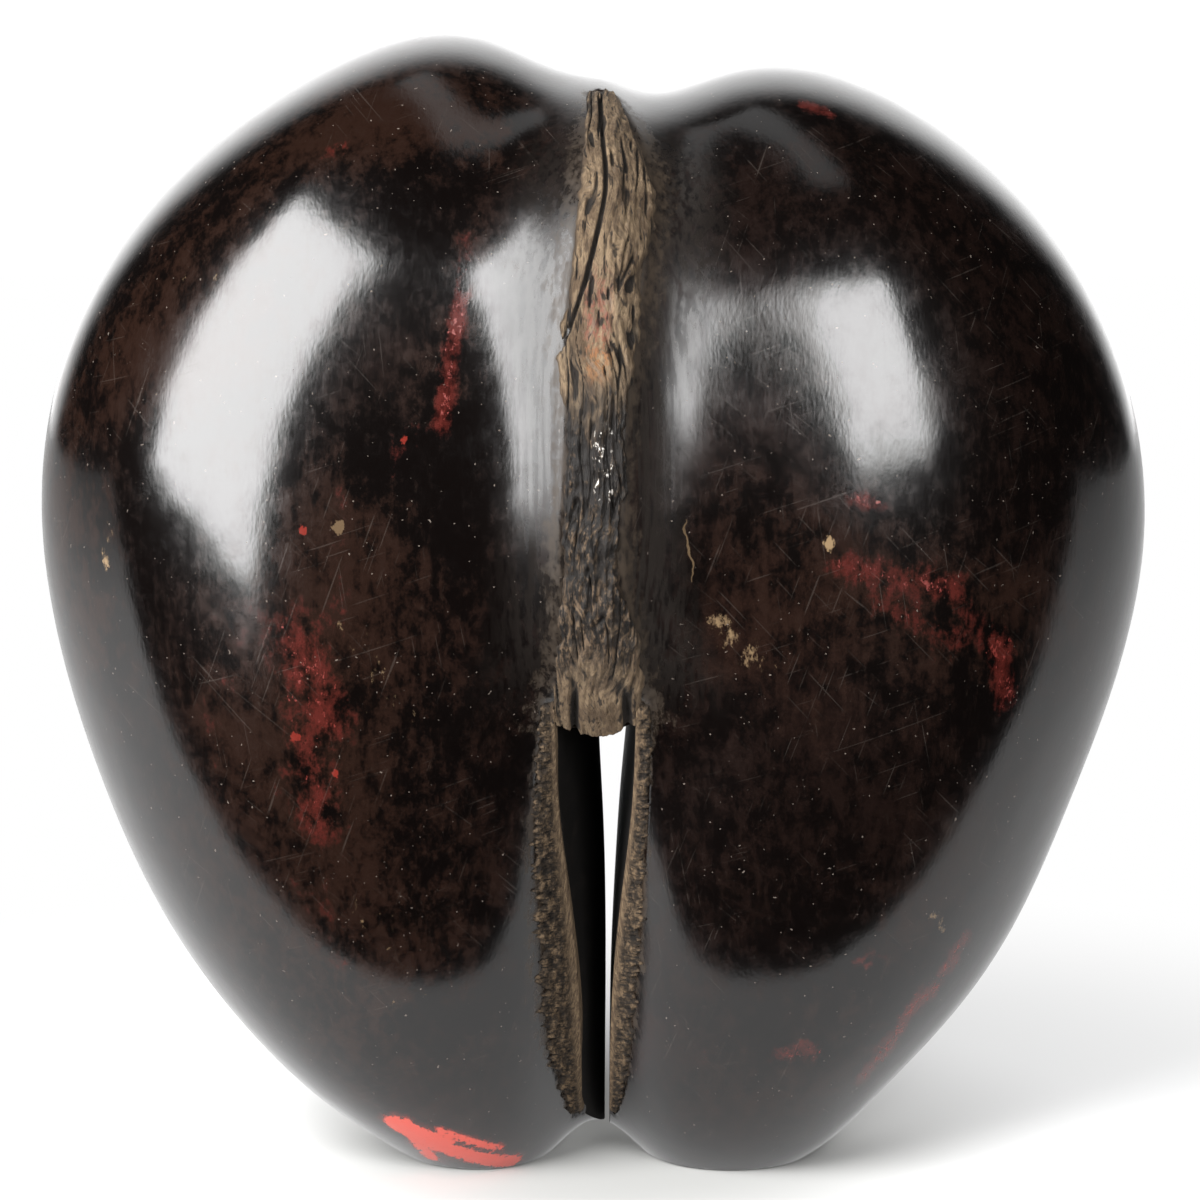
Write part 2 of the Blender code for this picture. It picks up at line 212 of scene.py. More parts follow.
def egg_distance(x, y, z, centre, sides, depths, height, radius):
    """Roughly how far a point is outside an egg.

    sides are its reaches to the left and right, depths those to the front and back.
    """
    across, deep, high = x - centre[0], y - centre[1], z - centre[2]
    half_x = np.where(across < 0, *sides)
    half_y = turned(deep, *depths)
    return (full_gauge(across / half_x, deep / half_y, high / height) - 1) * radius


def nut_distance(points):
    """Roughly how far each point is outside the nut, before the slit is cut."""
    x, y, z = points.T
    blend = turned(y, BLEND_FRONT, BLEND_BACK)
    parts = (
        lobe_distance(x, y, z, -1),
        lobe_distance(x, y, z, 1),
        egg_distance(x, y, z, DOME_CENTRE, DOME_SIDES, DOME_DEPTHS, DOME_HEIGHT, DOME_RADIUS),
        egg_distance(x, y, z, KEEL_CENTRE, KEEL_SIDES, KEEL_DEPTHS, KEEL_HEIGHT, KEEL_RADIUS),
    )
    low = (1 - np.tanh((z - VALLEY_TOP) / VALLEY_FADE)) / 2
    front = (1 - np.tanh(y / TURN_WIDTH)) / 2
    valley = VALLEY_DEPTH * low * front * np.exp(-((x / VALLEY_WIDTH) ** 2))
    return valley - blend * np.log(sum(np.exp(-part / blend) for part in parts))


def skin_points(origins, directions):
    """Where rays from inside the nut leave it."""
    inside = np.zeros(len(origins))
    outside = np.full(len(origins), MARCH_LIMIT)
    for reach in np.arange(MARCH_STEP, MARCH_LIMIT, MARCH_STEP):
        still_in = nut_distance(origins + directions * reach) < 0
        open_rays = outside == MARCH_LIMIT
        inside = np.where(still_in & open_rays, reach, inside)
        outside = np.where(~still_in & open_rays, reach, outside)
    for _ in range(BISECTIONS):
        middle = (inside + outside) / 2
        still_in = nut_distance(origins + directions * middle[:, None]) < 0
        inside, outside = np.where(still_in, middle, inside), np.where(still_in, outside, middle)
    return origins + directions * inside[:, None]


def unit(vectors):
    return vectors / np.linalg.norm(vectors, axis=1, keepdims=True)


def skin_normals(points, step=2e-4):
    """The directions in which the field grows fastest."""
    slopes = [nut_distance(points + offset) - nut_distance(points - offset) for offset in np.eye(3) * step]
    return unit(np.stack(slopes, axis=1))


def front_skin(x, z, away=-1.0):
    """The skin's points straight in front of (x, 0, z), or behind it where away is 1."""
    x, z = np.broadcast_arrays(np.asarray(x, float), np.asarray(z, float))
    origins = np.stack([x.ravel(), np.zeros(x.size), z.ravel()], axis=1)
    return skin_points(origins, np.tile((0.0, away, 0.0), (x.size, 1)))


def grain(points, scale, shift=0.0):
    """Smooth noise from about -1 to 1 at each point. scale is one number, or one for each axis, per metre."""
    places = np.asarray(points) * np.asarray(scale) + shift
    return np.array([noise.noise(Vector(place)) for place in places]) * 1.6


def slit_section(y, z):
    """Middle and half width of the slit: widest in front, waisted at mid depth, open a little to the back."""
    ahead = np.clip(-y / slit_front_depth(z), 0, 1) ** 1.5
    behind = SLIT_BACK_FLARE * np.clip(y / SLIT_BACK_DEPTH, 0, 1) ** 2
    flare = np.where(y < 0, ahead, behind)
    middle = slit_waist_x(z) + (SLIT_FRONT_X - slit_waist_x(z)) * flare
    return middle, slit_waist_half(z) + (slit_front_half(z) - slit_waist_half(z)) * flare


def smooth_step(value, low, high):
    share = np.clip((value - low) / (high - low), 0, 1)
    return share * share * (3 - 2 * share)


def roof_height(across, y):
    """The height of the slit's roof. across runs from -1 to 1 between the slit's walls."""
    lift = SLIT_ROOF_RISE * np.clip((1 + y / SLIT_REACH) / 2, 0, 1)
    return SLIT_TOP - SLIT_ROOF_SAG * (1 - np.clip(across, -1, 1) ** 2) + lift


def beside_slit(places):
    """How far outside the slit's front edge each place lies, and on which side of the slit it is."""
    x, y, z = places.T
    middle, half = slit_section(y, z)
    side = np.where(x < middle, -1, 1)
    return np.abs(x - middle) - half, side


def band_inside(places):
    """1 on the middle line of the keel's band, 0 on its edges and less beyond them."""
    x, y, z = places.T
    here = smooth_step(z, SLIT_TOP + BAND_FOOT_FADE[0], SLIT_TOP + BAND_FOOT_FADE[1])
    here *= smooth_step(-y, BAND_TOP_DEPTH, BAND_TOP_DEPTH + BAND_TOP_FADE)
    inside = 1 - np.abs(x - band_middle(z)) / band_half(z)
    return inside * here - (1 - here)


def lip_inside(places):
    """1 at the slit's edge, 0 at the outer edge of a lip and less beyond it."""
    outside, side = beside_slit(places)
    z = places[:, 2]
    width = np.where(side < 0, lip_width[-1](z), lip_width[1](z))
    here = (places[:, 1] < 0) & (z > LIP_HEIGHTS[0]) & (z < LIP_HEIGHTS[-1])
    return np.where(here, 1 - outside / width, -1)


def new_object(name, mesh_source, *materials):
    mesh = bpy.data.meshes.new(name)
    mesh_source.to_mesh(mesh)
    mesh_source.free()
    for material in materials:
        mesh.materials.append(material)
    mesh.shade_smooth()
    made = bpy.data.objects.new(name, mesh)
    bpy.context.scene.collection.objects.link(made)
    return made


def apply_modifiers(obj):
    graph = bpy.context.evaluated_depsgraph_get()
    finished = bpy.data.meshes.new_from_object(obj.evaluated_get(graph))
    obj.modifiers.clear()
    obj.data = finished


def coordinates(mesh):
    places = np.empty(len(mesh.vertices) * 3)
    mesh.vertices.foreach_get("co", places)
    return places.reshape(-1, 3)


def set_attribute(mesh, name, values):
    mesh.attributes.new(name, "FLOAT", "POINT").data.foreach_set("value", np.asarray(values, np.float32))


# Node helpers


class Nodes:
    """A node tree, with short calls for its nodes."""

    def __init__(self, tree, coordinates_name="Object"):
        self.tree = tree
        self.place = self.node("ShaderNodeTexCoord").outputs[coordinates_name]

    def node(self, kind, inputs=None, **settings):
        made = self.tree.nodes.new(kind)
        for name, value in settings.items():
            setattr(made, name, value)
        for name, value in (inputs or {}).items():
            self.put(made.inputs[name], value)
        return made

    def put(self, socket, value):
        if isinstance(value, bpy.types.NodeSocket):
            self.tree.links.new(value, socket)
        else:
            socket.default_value = value

    def math(self, operation, first, second=0.0, third=0.0):
        made = self.node("ShaderNodeMath", {0: first, 1: second, 2: third}, operation=operation)
        return made.outputs[0]

    def times(self, first, second):
        return self.math("MULTIPLY", first, second)

    def plus(self, total, value, weight):
        """The total, with the value added at this weight."""
        return self.math("MULTIPLY_ADD", value, weight, total)

    def most(self, values):
        largest = 0.0
        for value in values:
            largest = self.math("MAXIMUM", largest, value)
        return largest

    def attribute(self, name):
        return self.node("ShaderNodeAttribute", attribute_name=name).outputs["Fac"]

    def vector(self, operation, first, second=(0, 0, 0), output="Vector"):
        made = self.node("ShaderNodeVectorMath", {0: first, 1: second}, operation=operation)
        return made.outputs[output]

    def noise(self, scale, detail=3.0, roughness=0.55, rotation=(0, 0, 0), place=None):
        """Noise with this many waves per metre along each axis, in axes turned by rotation."""
        periods = [1 / value for value in scale]
        inputs = {"Vector": place or self.place, "Scale": periods, "Rotation": rotation}
        vector = self.node("ShaderNodeMapping", inputs, vector_type="TEXTURE").outputs[0]
        inputs = {"Vector": vector, "Scale": 1.0, "Detail": detail, "Roughness": roughness}
        return self.node("ShaderNodeTexNoise", inputs).outputs[0]

    def step(self, value, low, high, bottom=0.0, top=1.0):
        inputs = {"Value": value, "From Min": low, "From Max": high, "To Min": bottom, "To Max": top}
        return self.node("ShaderNodeMapRange", inputs, interpolation_type="SMOOTHSTEP").outputs[0]

    def mix(self, share, first, second):
        made = self.node("ShaderNodeMix", data_type="RGBA")
        for index, value in ((0, share), (6, first), (7, second)):
            plain = isinstance(value, (float, bpy.types.NodeSocket))
            self.put(made.inputs[index], value if plain else (*value, 1))
        return made.outputs[2]

    def coat(self, colour, value, low, high, strength, paint):
        """The colour with paint over it, from nothing where the value is low to its full strength at high."""
        return self.mix(self.step(value, low, high, 0.0, strength), colour, paint)

    def zone(self, value, start, full, fading, end):
        """1 between full and fading, and 0 before start and after end."""
        return self.times(self.step(value, start, full), self.step(value, end, fading))

    def bump(self, height, distance):
        inputs = {"Height": height, "Distance": distance, "Strength": 1.0}
        return self.node("ShaderNodeBump", inputs).outputs[0]


class Shader(Nodes):
    """A material and its node tree."""

    def __init__(self, name, viewport):
        self.material = bpy.data.materials.new(name)
        self.material.use_nodes = True
        self.material.diffuse_color = (*viewport, 1)
        super().__init__(self.material.node_tree)
        self.surface = self.tree.nodes["Principled BSDF"]

    def finish(self, **sockets):
        for name, value in sockets.items():
            self.put(self.surface.inputs[name.replace("_", " ")], value)
        return self.material


# Geometry of the shell

SLIT_ROWS = 90
SLIT_ROOF_POINTS = 14
SLIT_DEPTHS = (
    *(-0.014, -0.006, -0.002, 0.0, 0.0003, 0.0007, 0.0012),
    *(0.0018, 0.0026, 0.0036, 0.0048, 0.0062, 0.008),
)
SLIT_MIDDLE_STATIONS = 30
FRONT_ROUND = 0.0012  # radius of the slit's edge in front
BACK_ROUND = 0.0050
SLIT_FOOT = -0.020
SLIT_SEEN_FROM = 0.016  # below this height the lobes no longer meet
BAND_BED = 0.0018  # the shell is worn down this far under the fibre
LIP_BED = 0.0012
SHARP_ANGLE = 40.0
BAND_BED_EDGE = (0.10, 0.45)  # shares of the half width over which the bed deepens
LIP_BED_EDGE = (0.10, 0.50)


def quad_sphere(cuts):
    """A sphere of even squares, with the direction of each of its points."""
    bm = bmesh.new()
    bmesh.ops.create_cube(bm, size=2)
    bmesh.ops.subdivide_edges(bm, edges=bm.edges[:], cuts=cuts, use_grid_fill=True)
    even = np.tan(np.array([v.co for v in bm.verts]) * math.pi / 4)
    return bm, unit(even)


def wear_feet(bm):
    """Each lobe tip is worn flat where the nut stands."""
    everything = [*bm.verts, *bm.edges, *bm.faces]
    ground = {"plane_co": (0, 0, 0), "plane_no": (0, 0, 1)}
    cut = bmesh.ops.bisect_plane(bm, geom=everything, clear_inner=True, **ground)
    rims = [e for e in cut["geom_cut"] if isinstance(e, bmesh.types.BMEdge)]
    bmesh.ops.holes_fill(bm, edges=rims, sides=0)


def bare_shell():
    bm, sphere = quad_sphere(SHELL_CUTS)
    across = 2 / math.pi * np.arcsin(np.clip(sphere[:, 0], -1, 1))
    turn = np.arctan2(-sphere[:, 1], sphere[:, 2])
    angle = np.arctan2(SECTION_RATIO * np.sin(turn), np.cos(turn))
    core = np.clip(across / CENTRE_SHARE, -1, 1) * CORE_X
    tilt = np.sign(across) * np.clip(np.abs(across) - CENTRE_SHARE, 0, 1) / (1 - CENTRE_SHARE) * math.pi / 2
    origins = np.stack([core, np.full(core.shape, CORE_Y), np.full(core.shape, CORE_Z)], axis=1)
    directions = np.stack([np.sin(tilt), -np.cos(tilt) * np.sin(angle), np.cos(tilt) * np.cos(angle)], axis=1)
    places = skin_points(origins, directions)
    uneven = UNEVEN_DEPTH * (grain(places, UNEVEN_SCALE) - 1) / 2
    bed = BAND_BED * smooth_step(band_inside(places), *BAND_BED_EDGE)
    bed += LIP_BED * smooth_step(lip_inside(places), *LIP_BED_EDGE)
    places += skin_normals(places) * (uneven - SHELL_INSET - bed)[:, None]
    for vertex, place in zip(bm.verts, places):
        vertex.co = place
    wear_feet(bm)
    return bm


def rounded(depth, radius):
    """How far an edge of this radius has drawn back at this depth below the skin."""
    below = np.clip(depth, 0, radius)
    return radius - math.sqrt(radius**2 - (radius - below) ** 2)


def slit_profile():
    """Across and height, up the slit's left wall, over its roof and down its right wall."""
    up = np.linspace(0, 1, SLIT_ROWS)
    roof = np.linspace(-1, 1, SLIT_ROOF_POINTS + 2)[1:-1]
    across = np.concatenate([np.full(SLIT_ROWS, -1.0), roof, np.full(SLIT_ROWS, 1.0)])
    height = np.concatenate([up, np.ones(SLIT_ROOF_POINTS), up[::-1]])
    return across, height


def slit_cutter(material):
    """The space between the lobes: a tube of sections that follow the skin in front and behind."""
    across, height = slit_profile()
    base = SLIT_FOOT + (SLIT_TOP - SLIT_FOOT) * height
    front, back = (front_skin(SLIT_FRONT_X, np.maximum(base, SLIT_SEEN_FROM), away)[:, 1] for away in (-1, 1))
    inner = SLIT_DEPTHS[-1]
    bm = bmesh.new()
    rings = []
    stations = [("front", d) for d in SLIT_DEPTHS]
    stations += [("middle", t) for t in np.linspace(0, 1, SLIT_MIDDLE_STATIONS + 2)[1:-1]]
    stations += [("back", d) for d in reversed(SLIT_DEPTHS)]
    for kind, value in stations:
        if kind == "front":
            y, draw = front + value, rounded(value, FRONT_ROUND)
        elif kind == "back":
            y, draw = back - value, rounded(value, BACK_ROUND)
        else:
            y, draw = (front + inner) * (1 - value) + (back - inner) * value, 0.0
        z = SLIT_FOOT + (roof_height(across, y) + draw - SLIT_FOOT) * height
        x_middle, half = slit_section(y, base)
        rings.append([bm.verts.new(place) for place in zip(x_middle + across * (half + draw), y, z)])
    for ring, after in zip(rings, rings[1:]):
        for i in range(len(ring)):
            j = (i + 1) % len(ring)
            bm.faces.new((ring[i], ring[j], after[j], after[i]))
    bm.faces.new(rings[0])
    bm.faces.new(rings[-1][::-1])
    bmesh.ops.recalc_face_normals(bm, faces=bm.faces)
    return new_object("slit_cutter", bm, material)


def shell(polished, wall):
    body = new_object("polished_shell", bare_shell(), polished)
    cutter = slit_cutter(wall)
    cut = body.modifiers.new("slit", "BOOLEAN")
    cut.operation = "DIFFERENCE"
    cut.solver = "EXACT"
    cut.material_mode = "TRANSFER"
    cut.object = cutter
    apply_modifiers(body)
    bpy.data.objects.remove(cutter)
    body.data.shade_smooth()
    body.data.set_sharp_from_angle(angle=math.radians(SHARP_ANGLE))
    return body


# Geometry of the fibre

BAND_GRID = (104, 400)  # points across and along
BAND_TOP_ANGLE = 12.0  # degrees from straight up, about the core line, where the band begins
BAND_OVERHANG = 1.15  # the band's sheet is this much wider than the band
BAND_ROOF_DEPTH = 0.008  # the band turns in under the slit's roof by this much
BAND_ROOF_SHARE = 0.05
BAND_THICKNESS = 0.0030
BAND_PROUD = 0.0002
EDGE_SINK = 0.0010
LIP_GRID = (44, 330)
LIP_WALL_SHARE = 0.28  # share of a lip's columns that lie on the slit's wall
LIP_WALL_DEPTH = 0.0045
LIP_THICKNESS = 0.0016
LIP_PROUD = 0.00025
CRACK_PIXELS = ((600, 96), (603, 140), (606, 180), (599, 225), (590, 262), (579, 300), (562, 345))
CRACK_WIDTH = 0.0005
BEND_SCALE = (60, 60, 42)  # the grain of the fibre wanders sideways
BEND_WIDTH = 0.0024
CRACK_DEPTH = 0.0015
TONGUE_GROOVES = (-0.0055, 0.0070)  # across, either side of the tongue that hangs over the slit's roof
GROOVE_WIDTH = 0.0009
CROWN_HEIGHTS = (0.200, 0.212)  # the band's crown begins between these heights
DARK_HEIGHTS = (0.138, 0.148)  # from here up to the crown it is hairy and crumbly
LOW_HEIGHTS = (0.136, 0.128)  # and from here down its tongue hangs over the slit's roof
TONGUE_SHAPE = (0.05, 0.42)  # the tongue's middle and reach, in half widths of the band
# Painted shade: the fibre materials darken the relief's hollows, fully at these depths.
BAND_HOLLOW = 0.0010  # the material shows a hollow of this depth as dark
LIP_HOLLOW = 0.0007
LIP_RIM_FADE = (0.35, 0.05)  # the worn rim fades out between these shares of the lip's width
COARSE_HEIGHT = 0.00032
FINE_HEIGHT = 0.00024
FINEST_HEIGHT = 0.00014
HAIR_HEIGHT = 0.0006
HAIR_MEAN = 0.4
CRUMB_HEIGHT = 0.0004
TONGUE_HEIGHT = 0.0008
GROOVE_DEPTH = 0.0020
FISSURE_DEPTH = 0.0009
PIT_DEPTH = 0.0007
LUMP_HEIGHT = 0.00035
TICK_HEIGHT = 0.0006
FUZZ_HEIGHT = 0.00012
FISSURE_WIDTH = 0.11  # where the noise is nearer to 0 than this, the husk is split
FISSURE_SPREAD = (-0.10, 0.35)
PIT_LIMITS = (0.42, 0.62)
PITS_BELOW_CROWN = 0.35
CRACK_FADE = (1.6, 0.3)  # in widths of the crack, from its line
BAND_EDGE_FADE = 0.24  # shares of the half width
BAND_START_FADE = (0.006, 0.030)  # shares of the band's length
LIP_EDGE_FADE = 0.18
LIP_ROUGH = (0.12, 0.45)  # the lip is rough outside these shares of its width
LIP_TOP_FADE = (0.1300, 0.1275)
LIP_FOOT_FADE = (0.0118, 0.0150)
LIP_WALL_FADE = (-0.40, -0.25)

# The relief's noises: waves per metre along each axis, and a shift that sets each apart from the others
COARSE_GRAIN = ((320, 40, 34), 3.1)
FINE_GRAIN = ((950, 60, 90), 7.7)
FINEST_GRAIN = ((2400, 300, 420), 1.3)
CRUMB_GRAIN = ((520, 200, 330), 6.6)
HAIR_GRAIN = ((760, 80, 62), 4.4)
FISSURE_GRAIN = ((400, 40, 24), 9.2)
FISSURE_PLACES = ((150, 60, 60), 5.5)
PIT_GRAIN = ((700, 60, 150), 2.7)
LUMP_GRAIN = ((330, 330, 420), 2.2)
TICK_GRAIN = ((380, 380, 1500), 6.1)
FUZZ_GRAIN = ((2600, 2600, 2600), 8.8)
BAND_EDGE_STEPS = ((45, 0.18), (160, 0.10), (500, 0.05))  # waves per metre, and shares of the half width
LIP_EDGE_STEPS = ((240, 0.20), (900, 0.22))


def camera_place():
    tilt = math.radians(CAMERA_ELEVATION)
    return CAMERA_TARGET + CAMERA_DISTANCE * Vector((0, -math.cos(tilt), math.sin(tilt)))


def on_skin(pixels):
    """The places on the skin that the photograph shows at these pixels."""
    place = camera_place()
    forward = (CAMERA_TARGET - place).normalized()
    right = forward.cross(Vector((0, 0, 1))).normalized()
    up = right.cross(forward)
    per_pixel = SENSOR / LENS / PICTURE_SIZE
    px, py = np.array(pixels, float).T
    centre = PICTURE_SIZE / 2
    rays = np.array(forward) + np.outer((px - centre) * per_pixel, right)
    rays += np.outer((centre - py) * per_pixel, up)
    rays = unit(rays)
    reach = np.full(len(rays), CAMERA_DISTANCE * TRACE_START)
    for _ in range(TRACE_STEPS):
        reach += TRACE_SHARE * np.maximum(nut_distance(np.array(place) + rays * reach[:, None]), 0)
    return np.array(place) + rays * reach[:, None]


def closed_sheet(name, top, bottom, columns, rows, material):
    """A solid between two grids of points, each given row by row."""
    bm = bmesh.new()
    upper, lower = ([bm.verts.new(place) for place in grid] for grid in (top, bottom))

    def index(column, row):
        return row * columns + column

    for row in range(rows - 1):
        for column in range(columns - 1):
            left, right = index(column, row), index(column + 1, row)
            corners = [left, right, right + columns, left + columns]
            bm.faces.new([upper[i] for i in corners])
            bm.faces.new([lower[i] for i in reversed(corners)])
    rim = [index(column, 0) for column in range(columns)]
    rim += [index(columns - 1, row) for row in range(1, rows)]
    rim += [index(column, rows - 1) for column in range(columns - 2, -1, -1)]
    rim += [index(0, row) for row in range(rows - 2, 0, -1)]
    for i, j in zip(rim, rim[1:] + rim[:1]):
        bm.faces.new((upper[j], upper[i], lower[i], lower[j]))
    bmesh.ops.recalc_face_normals(bm, faces=bm.faces)
    return new_object(name, bm, material)


def raised_sheet(name, places, normals, height, thickness, grid, material, **marks):
    """A sheet of fibre whose top is at this height over its places, with marks on both of its faces."""
    top = places + normals * height[:, None]
    obj = closed_sheet(name, top, places - normals * thickness, *grid, material)
    for mark, values in marks.items():
        set_attribute(obj.data, mark, np.tile(values, 2))
    return obj


def ridged(points, scale, shift=0.0):
    """Noise whose zero lines become narrow crests, from 0 to 1."""
    return 1 - np.clip(np.abs(grain(points, scale, shift)), 0, 1)


def band_paths():
    """The band's places on the skin, running down to the slit's roof and in under it, and their normals."""
    columns, rows = BAND_GRID
    across = np.linspace(-1, 1, columns)
    share = np.linspace(0, 1, rows)
    down = np.clip(share / (1 - BAND_ROOF_SHARE), 0, 1)
    a, t = (grid.ravel() for grid in np.meshgrid(across, down))
    foot_x = band_middle(SLIT_TOP) + across * band_half(SLIT_TOP) * BAND_OVERHANG
    slit_x, slit_half = slit_section(-slit_front_depth(SLIT_TOP), SLIT_TOP)
    within = (foot_x - slit_x) / slit_half
    foot = front_skin(foot_x, roof_height(within, -slit_front_depth(SLIT_TOP)))
    end = np.arctan2(CORE_Y - foot[:, 1], foot[:, 2] - CORE_Z)
    start = math.radians(BAND_TOP_ANGLE)
    angle = start + (np.tile(end, rows) - start) * t
    level = np.zeros(a.shape)
    origins = np.stack([level + SLIT_FRONT_X, level + CORE_Y, level + CORE_Z], axis=1)
    directions = np.stack([level, -np.sin(angle), np.cos(angle)], axis=1)
    height = skin_points(origins, directions)[:, 2]
    origins[:, 0] = band_middle(height) + a * band_half(height) * BAND_OVERHANG
    places = skin_points(origins, directions)
    normals = skin_normals(places)
    inward = np.clip((share - (1 - BAND_ROOF_SHARE)) / BAND_ROOF_SHARE, 0, 1)
    inward = np.repeat(inward, columns)
    under = inward > 0
    places[under, 1] += inward[under] * BAND_ROOF_DEPTH
    places[under, 2] = roof_height(np.tile(within, rows)[under], places[under, 1])
    turn = smooth_step(inward, 0, 0.3)[:, None]
    before = smooth_step(t, 0.985, 1.0)[:, None] * 0.5
    lean = np.maximum(turn, before)
    normals = normals * (1 - lean) + np.array((0.0, 0.0, -1.0)) * lean
    return places, unit(normals), a * BAND_OVERHANG


def line_distance(places, line):
    """How far aside each place lies from a line that runs down the nut, and 1 m above and below the line."""
    ends = line[np.argsort(line[:, 2])]
    path = smooth_curve(ends[:, 2], ends[:, 0])
    inside = (places[:, 2] > ends[0, 2]) & (places[:, 2] < ends[-1, 2])
    return np.where(inside, np.abs(places[:, 0] - path(places[:, 2])), 1.0)


def ragged(places, side, scales):
    """Uneven steps along an edge, different on each side."""
    line = np.stack([side * 40.0, side * 0.0, places[:, 2]], axis=1)
    return sum(size * grain(line, (1, 1, scale)) for scale, size in scales)


def keel_fibre(material):
    places, normals, a = band_paths()
    z = places[:, 2]
    crown = smooth_step(z, *CROWN_HEIGHTS)
    dark = (1 - crown) * smooth_step(z, *DARK_HEIGHTS)
    low = smooth_step(z, *LOW_HEIGHTS)
    bent = places + BEND_WIDTH * np.outer(grain(places, BEND_SCALE, 2.0), (1.0, 0.0, 0.0))
    coarse = grain(bent, *COARSE_GRAIN)
    fine = grain(bent, *FINE_GRAIN)
    finest = grain(bent, *FINEST_GRAIN)
    crumbs = grain(places, *CRUMB_GRAIN)
    hairs = ridged(bent, *HAIR_GRAIN) ** 3
    relief = COARSE_HEIGHT * coarse + FINE_HEIGHT * fine + FINEST_HEIGHT * finest
    relief += dark * (HAIR_HEIGHT * (hairs - HAIR_MEAN) + CRUMB_HEIGHT * crumbs)
    fissure = smooth_step(np.abs(grain(bent, *FISSURE_GRAIN)), FISSURE_WIDTH, 0.0)
    fissure *= smooth_step(grain(places, *FISSURE_PLACES), *FISSURE_SPREAD)
    pits = smooth_step(grain(bent, *PIT_GRAIN), *PIT_LIMITS)
    pits *= PITS_BELOW_CROWN + (1 - PITS_BELOW_CROWN) * crown
    crack = smooth_step(line_distance(places, on_skin(CRACK_PIXELS)) / CRACK_WIDTH, *CRACK_FADE)
    aside = places[:, 0] - band_middle(z)
    groove = sum(np.exp(-(((aside - offset) / GROOVE_WIDTH) ** 2)) for offset in TONGUE_GROOVES)
    tongue = np.exp(-(((a - TONGUE_SHAPE[0]) / TONGUE_SHAPE[1]) ** 2)) * low
    relief += TONGUE_HEIGHT * tongue - GROOVE_DEPTH * groove * low
    relief -= FISSURE_DEPTH * fissure + PIT_DEPTH * pits + CRACK_DEPTH * crack
    edge = 1 - np.abs(a) + ragged(places, np.sign(a), BAND_EDGE_STEPS)
    start = np.repeat(np.linspace(0, 1, BAND_GRID[1]), BAND_GRID[0]) + 0.012 * fine
    cover = smooth_step(edge, 0.0, BAND_EDGE_FADE) * smooth_step(start, *BAND_START_FADE)
    cover *= smooth_step(-places[:, 1] + 0.002 * fine, BAND_TOP_DEPTH + 0.001, BAND_TOP_DEPTH + 0.006)
    height = (BAND_PROUD + relief) * cover - EDGE_SINK * (1 - cover)
    # the hollow mark carries painted shade into the relief's hollows
    marks = {"hollow_shade": np.clip(-relief / BAND_HOLLOW, 0, 1), "edge": 1 - cover}
    sheet = (places, normals, height, BAND_THICKNESS, BAND_GRID, material)
    return raised_sheet("keel_fibre", *sheet, **marks)


def lip_paths(side):
    """A lip's grid of places, from the slit's wall round its edge and out over the skin, with normals."""
    columns, rows = LIP_GRID
    share = np.linspace(-LIP_WALL_SHARE / (1 - LIP_WALL_SHARE), 1, columns)
    height = np.linspace(LIP_HEIGHTS[-1], LIP_HEIGHTS[0], rows)
    u, z = (grid.ravel() for grid in np.meshgrid(share, height))
    edge = front_skin(SLIT_FRONT_X, z)
    for _ in range(4):
        middle, half = slit_section(edge[:, 1], z)
        edge = front_skin(middle + side * half, z)
    outward = np.clip(u, 0, 1)
    places = front_skin(edge[:, 0] + side * outward * lip_width[side](z) * BAND_OVERHANG, z)
    normals = skin_normals(places)
    wall = u < 0
    depth = np.clip(-u, 0, 1) / (LIP_WALL_SHARE / (1 - LIP_WALL_SHARE)) * LIP_WALL_DEPTH
    y = edge[:, 1] + depth
    middle, half = slit_section(y, z)
    places[wall] = np.stack([middle + side * half, y, z], axis=1)[wall]
    lean = smooth_step(-u, -0.06, 0.06)[:, None]
    normals = normals * (1 - lean) + np.array((-side, 0.0, 0.0)) * lean
    return places, unit(normals), u * BAND_OVERHANG


def lip_fibre(side, name, material):
    places, normals, u = lip_paths(side)
    z = places[:, 2]
    lumps = grain(places, *LUMP_GRAIN)
    ticks = ridged(places, *TICK_GRAIN) ** 2
    fuzz = grain(places, *FUZZ_GRAIN)
    rough = smooth_step(u, *LIP_ROUGH)
    relief = rough * (LUMP_HEIGHT * lumps + TICK_HEIGHT * (ticks - 0.5)) + FUZZ_HEIGHT * fuzz * (0.4 + rough)
    outer = 1 - u + ragged(places, np.full(len(u), side + 0.5), LIP_EDGE_STEPS)
    cover = smooth_step(outer, 0.0, LIP_EDGE_FADE) * smooth_step(u, *LIP_WALL_FADE)
    cover *= smooth_step(z, *LIP_TOP_FADE) * smooth_step(z, *LIP_FOOT_FADE)
    height = (LIP_PROUD + relief) * cover - EDGE_SINK * (1 - cover)
    # the hollow mark carries painted shade into the relief's hollows
    marks = {"hollow_shade": np.clip(-relief / LIP_HOLLOW, 0, 1), "edge": 1 - cover}
    marks["rim"] = smooth_step(u, *LIP_RIM_FADE)
    sheet = (places, normals, height, LIP_THICKNESS, LIP_GRID, material)
    return raised_sheet(name, *sheet, **marks)


# Marks on the shell, by the photograph's pixels: two ends of a stroke, its width in metres, its strength

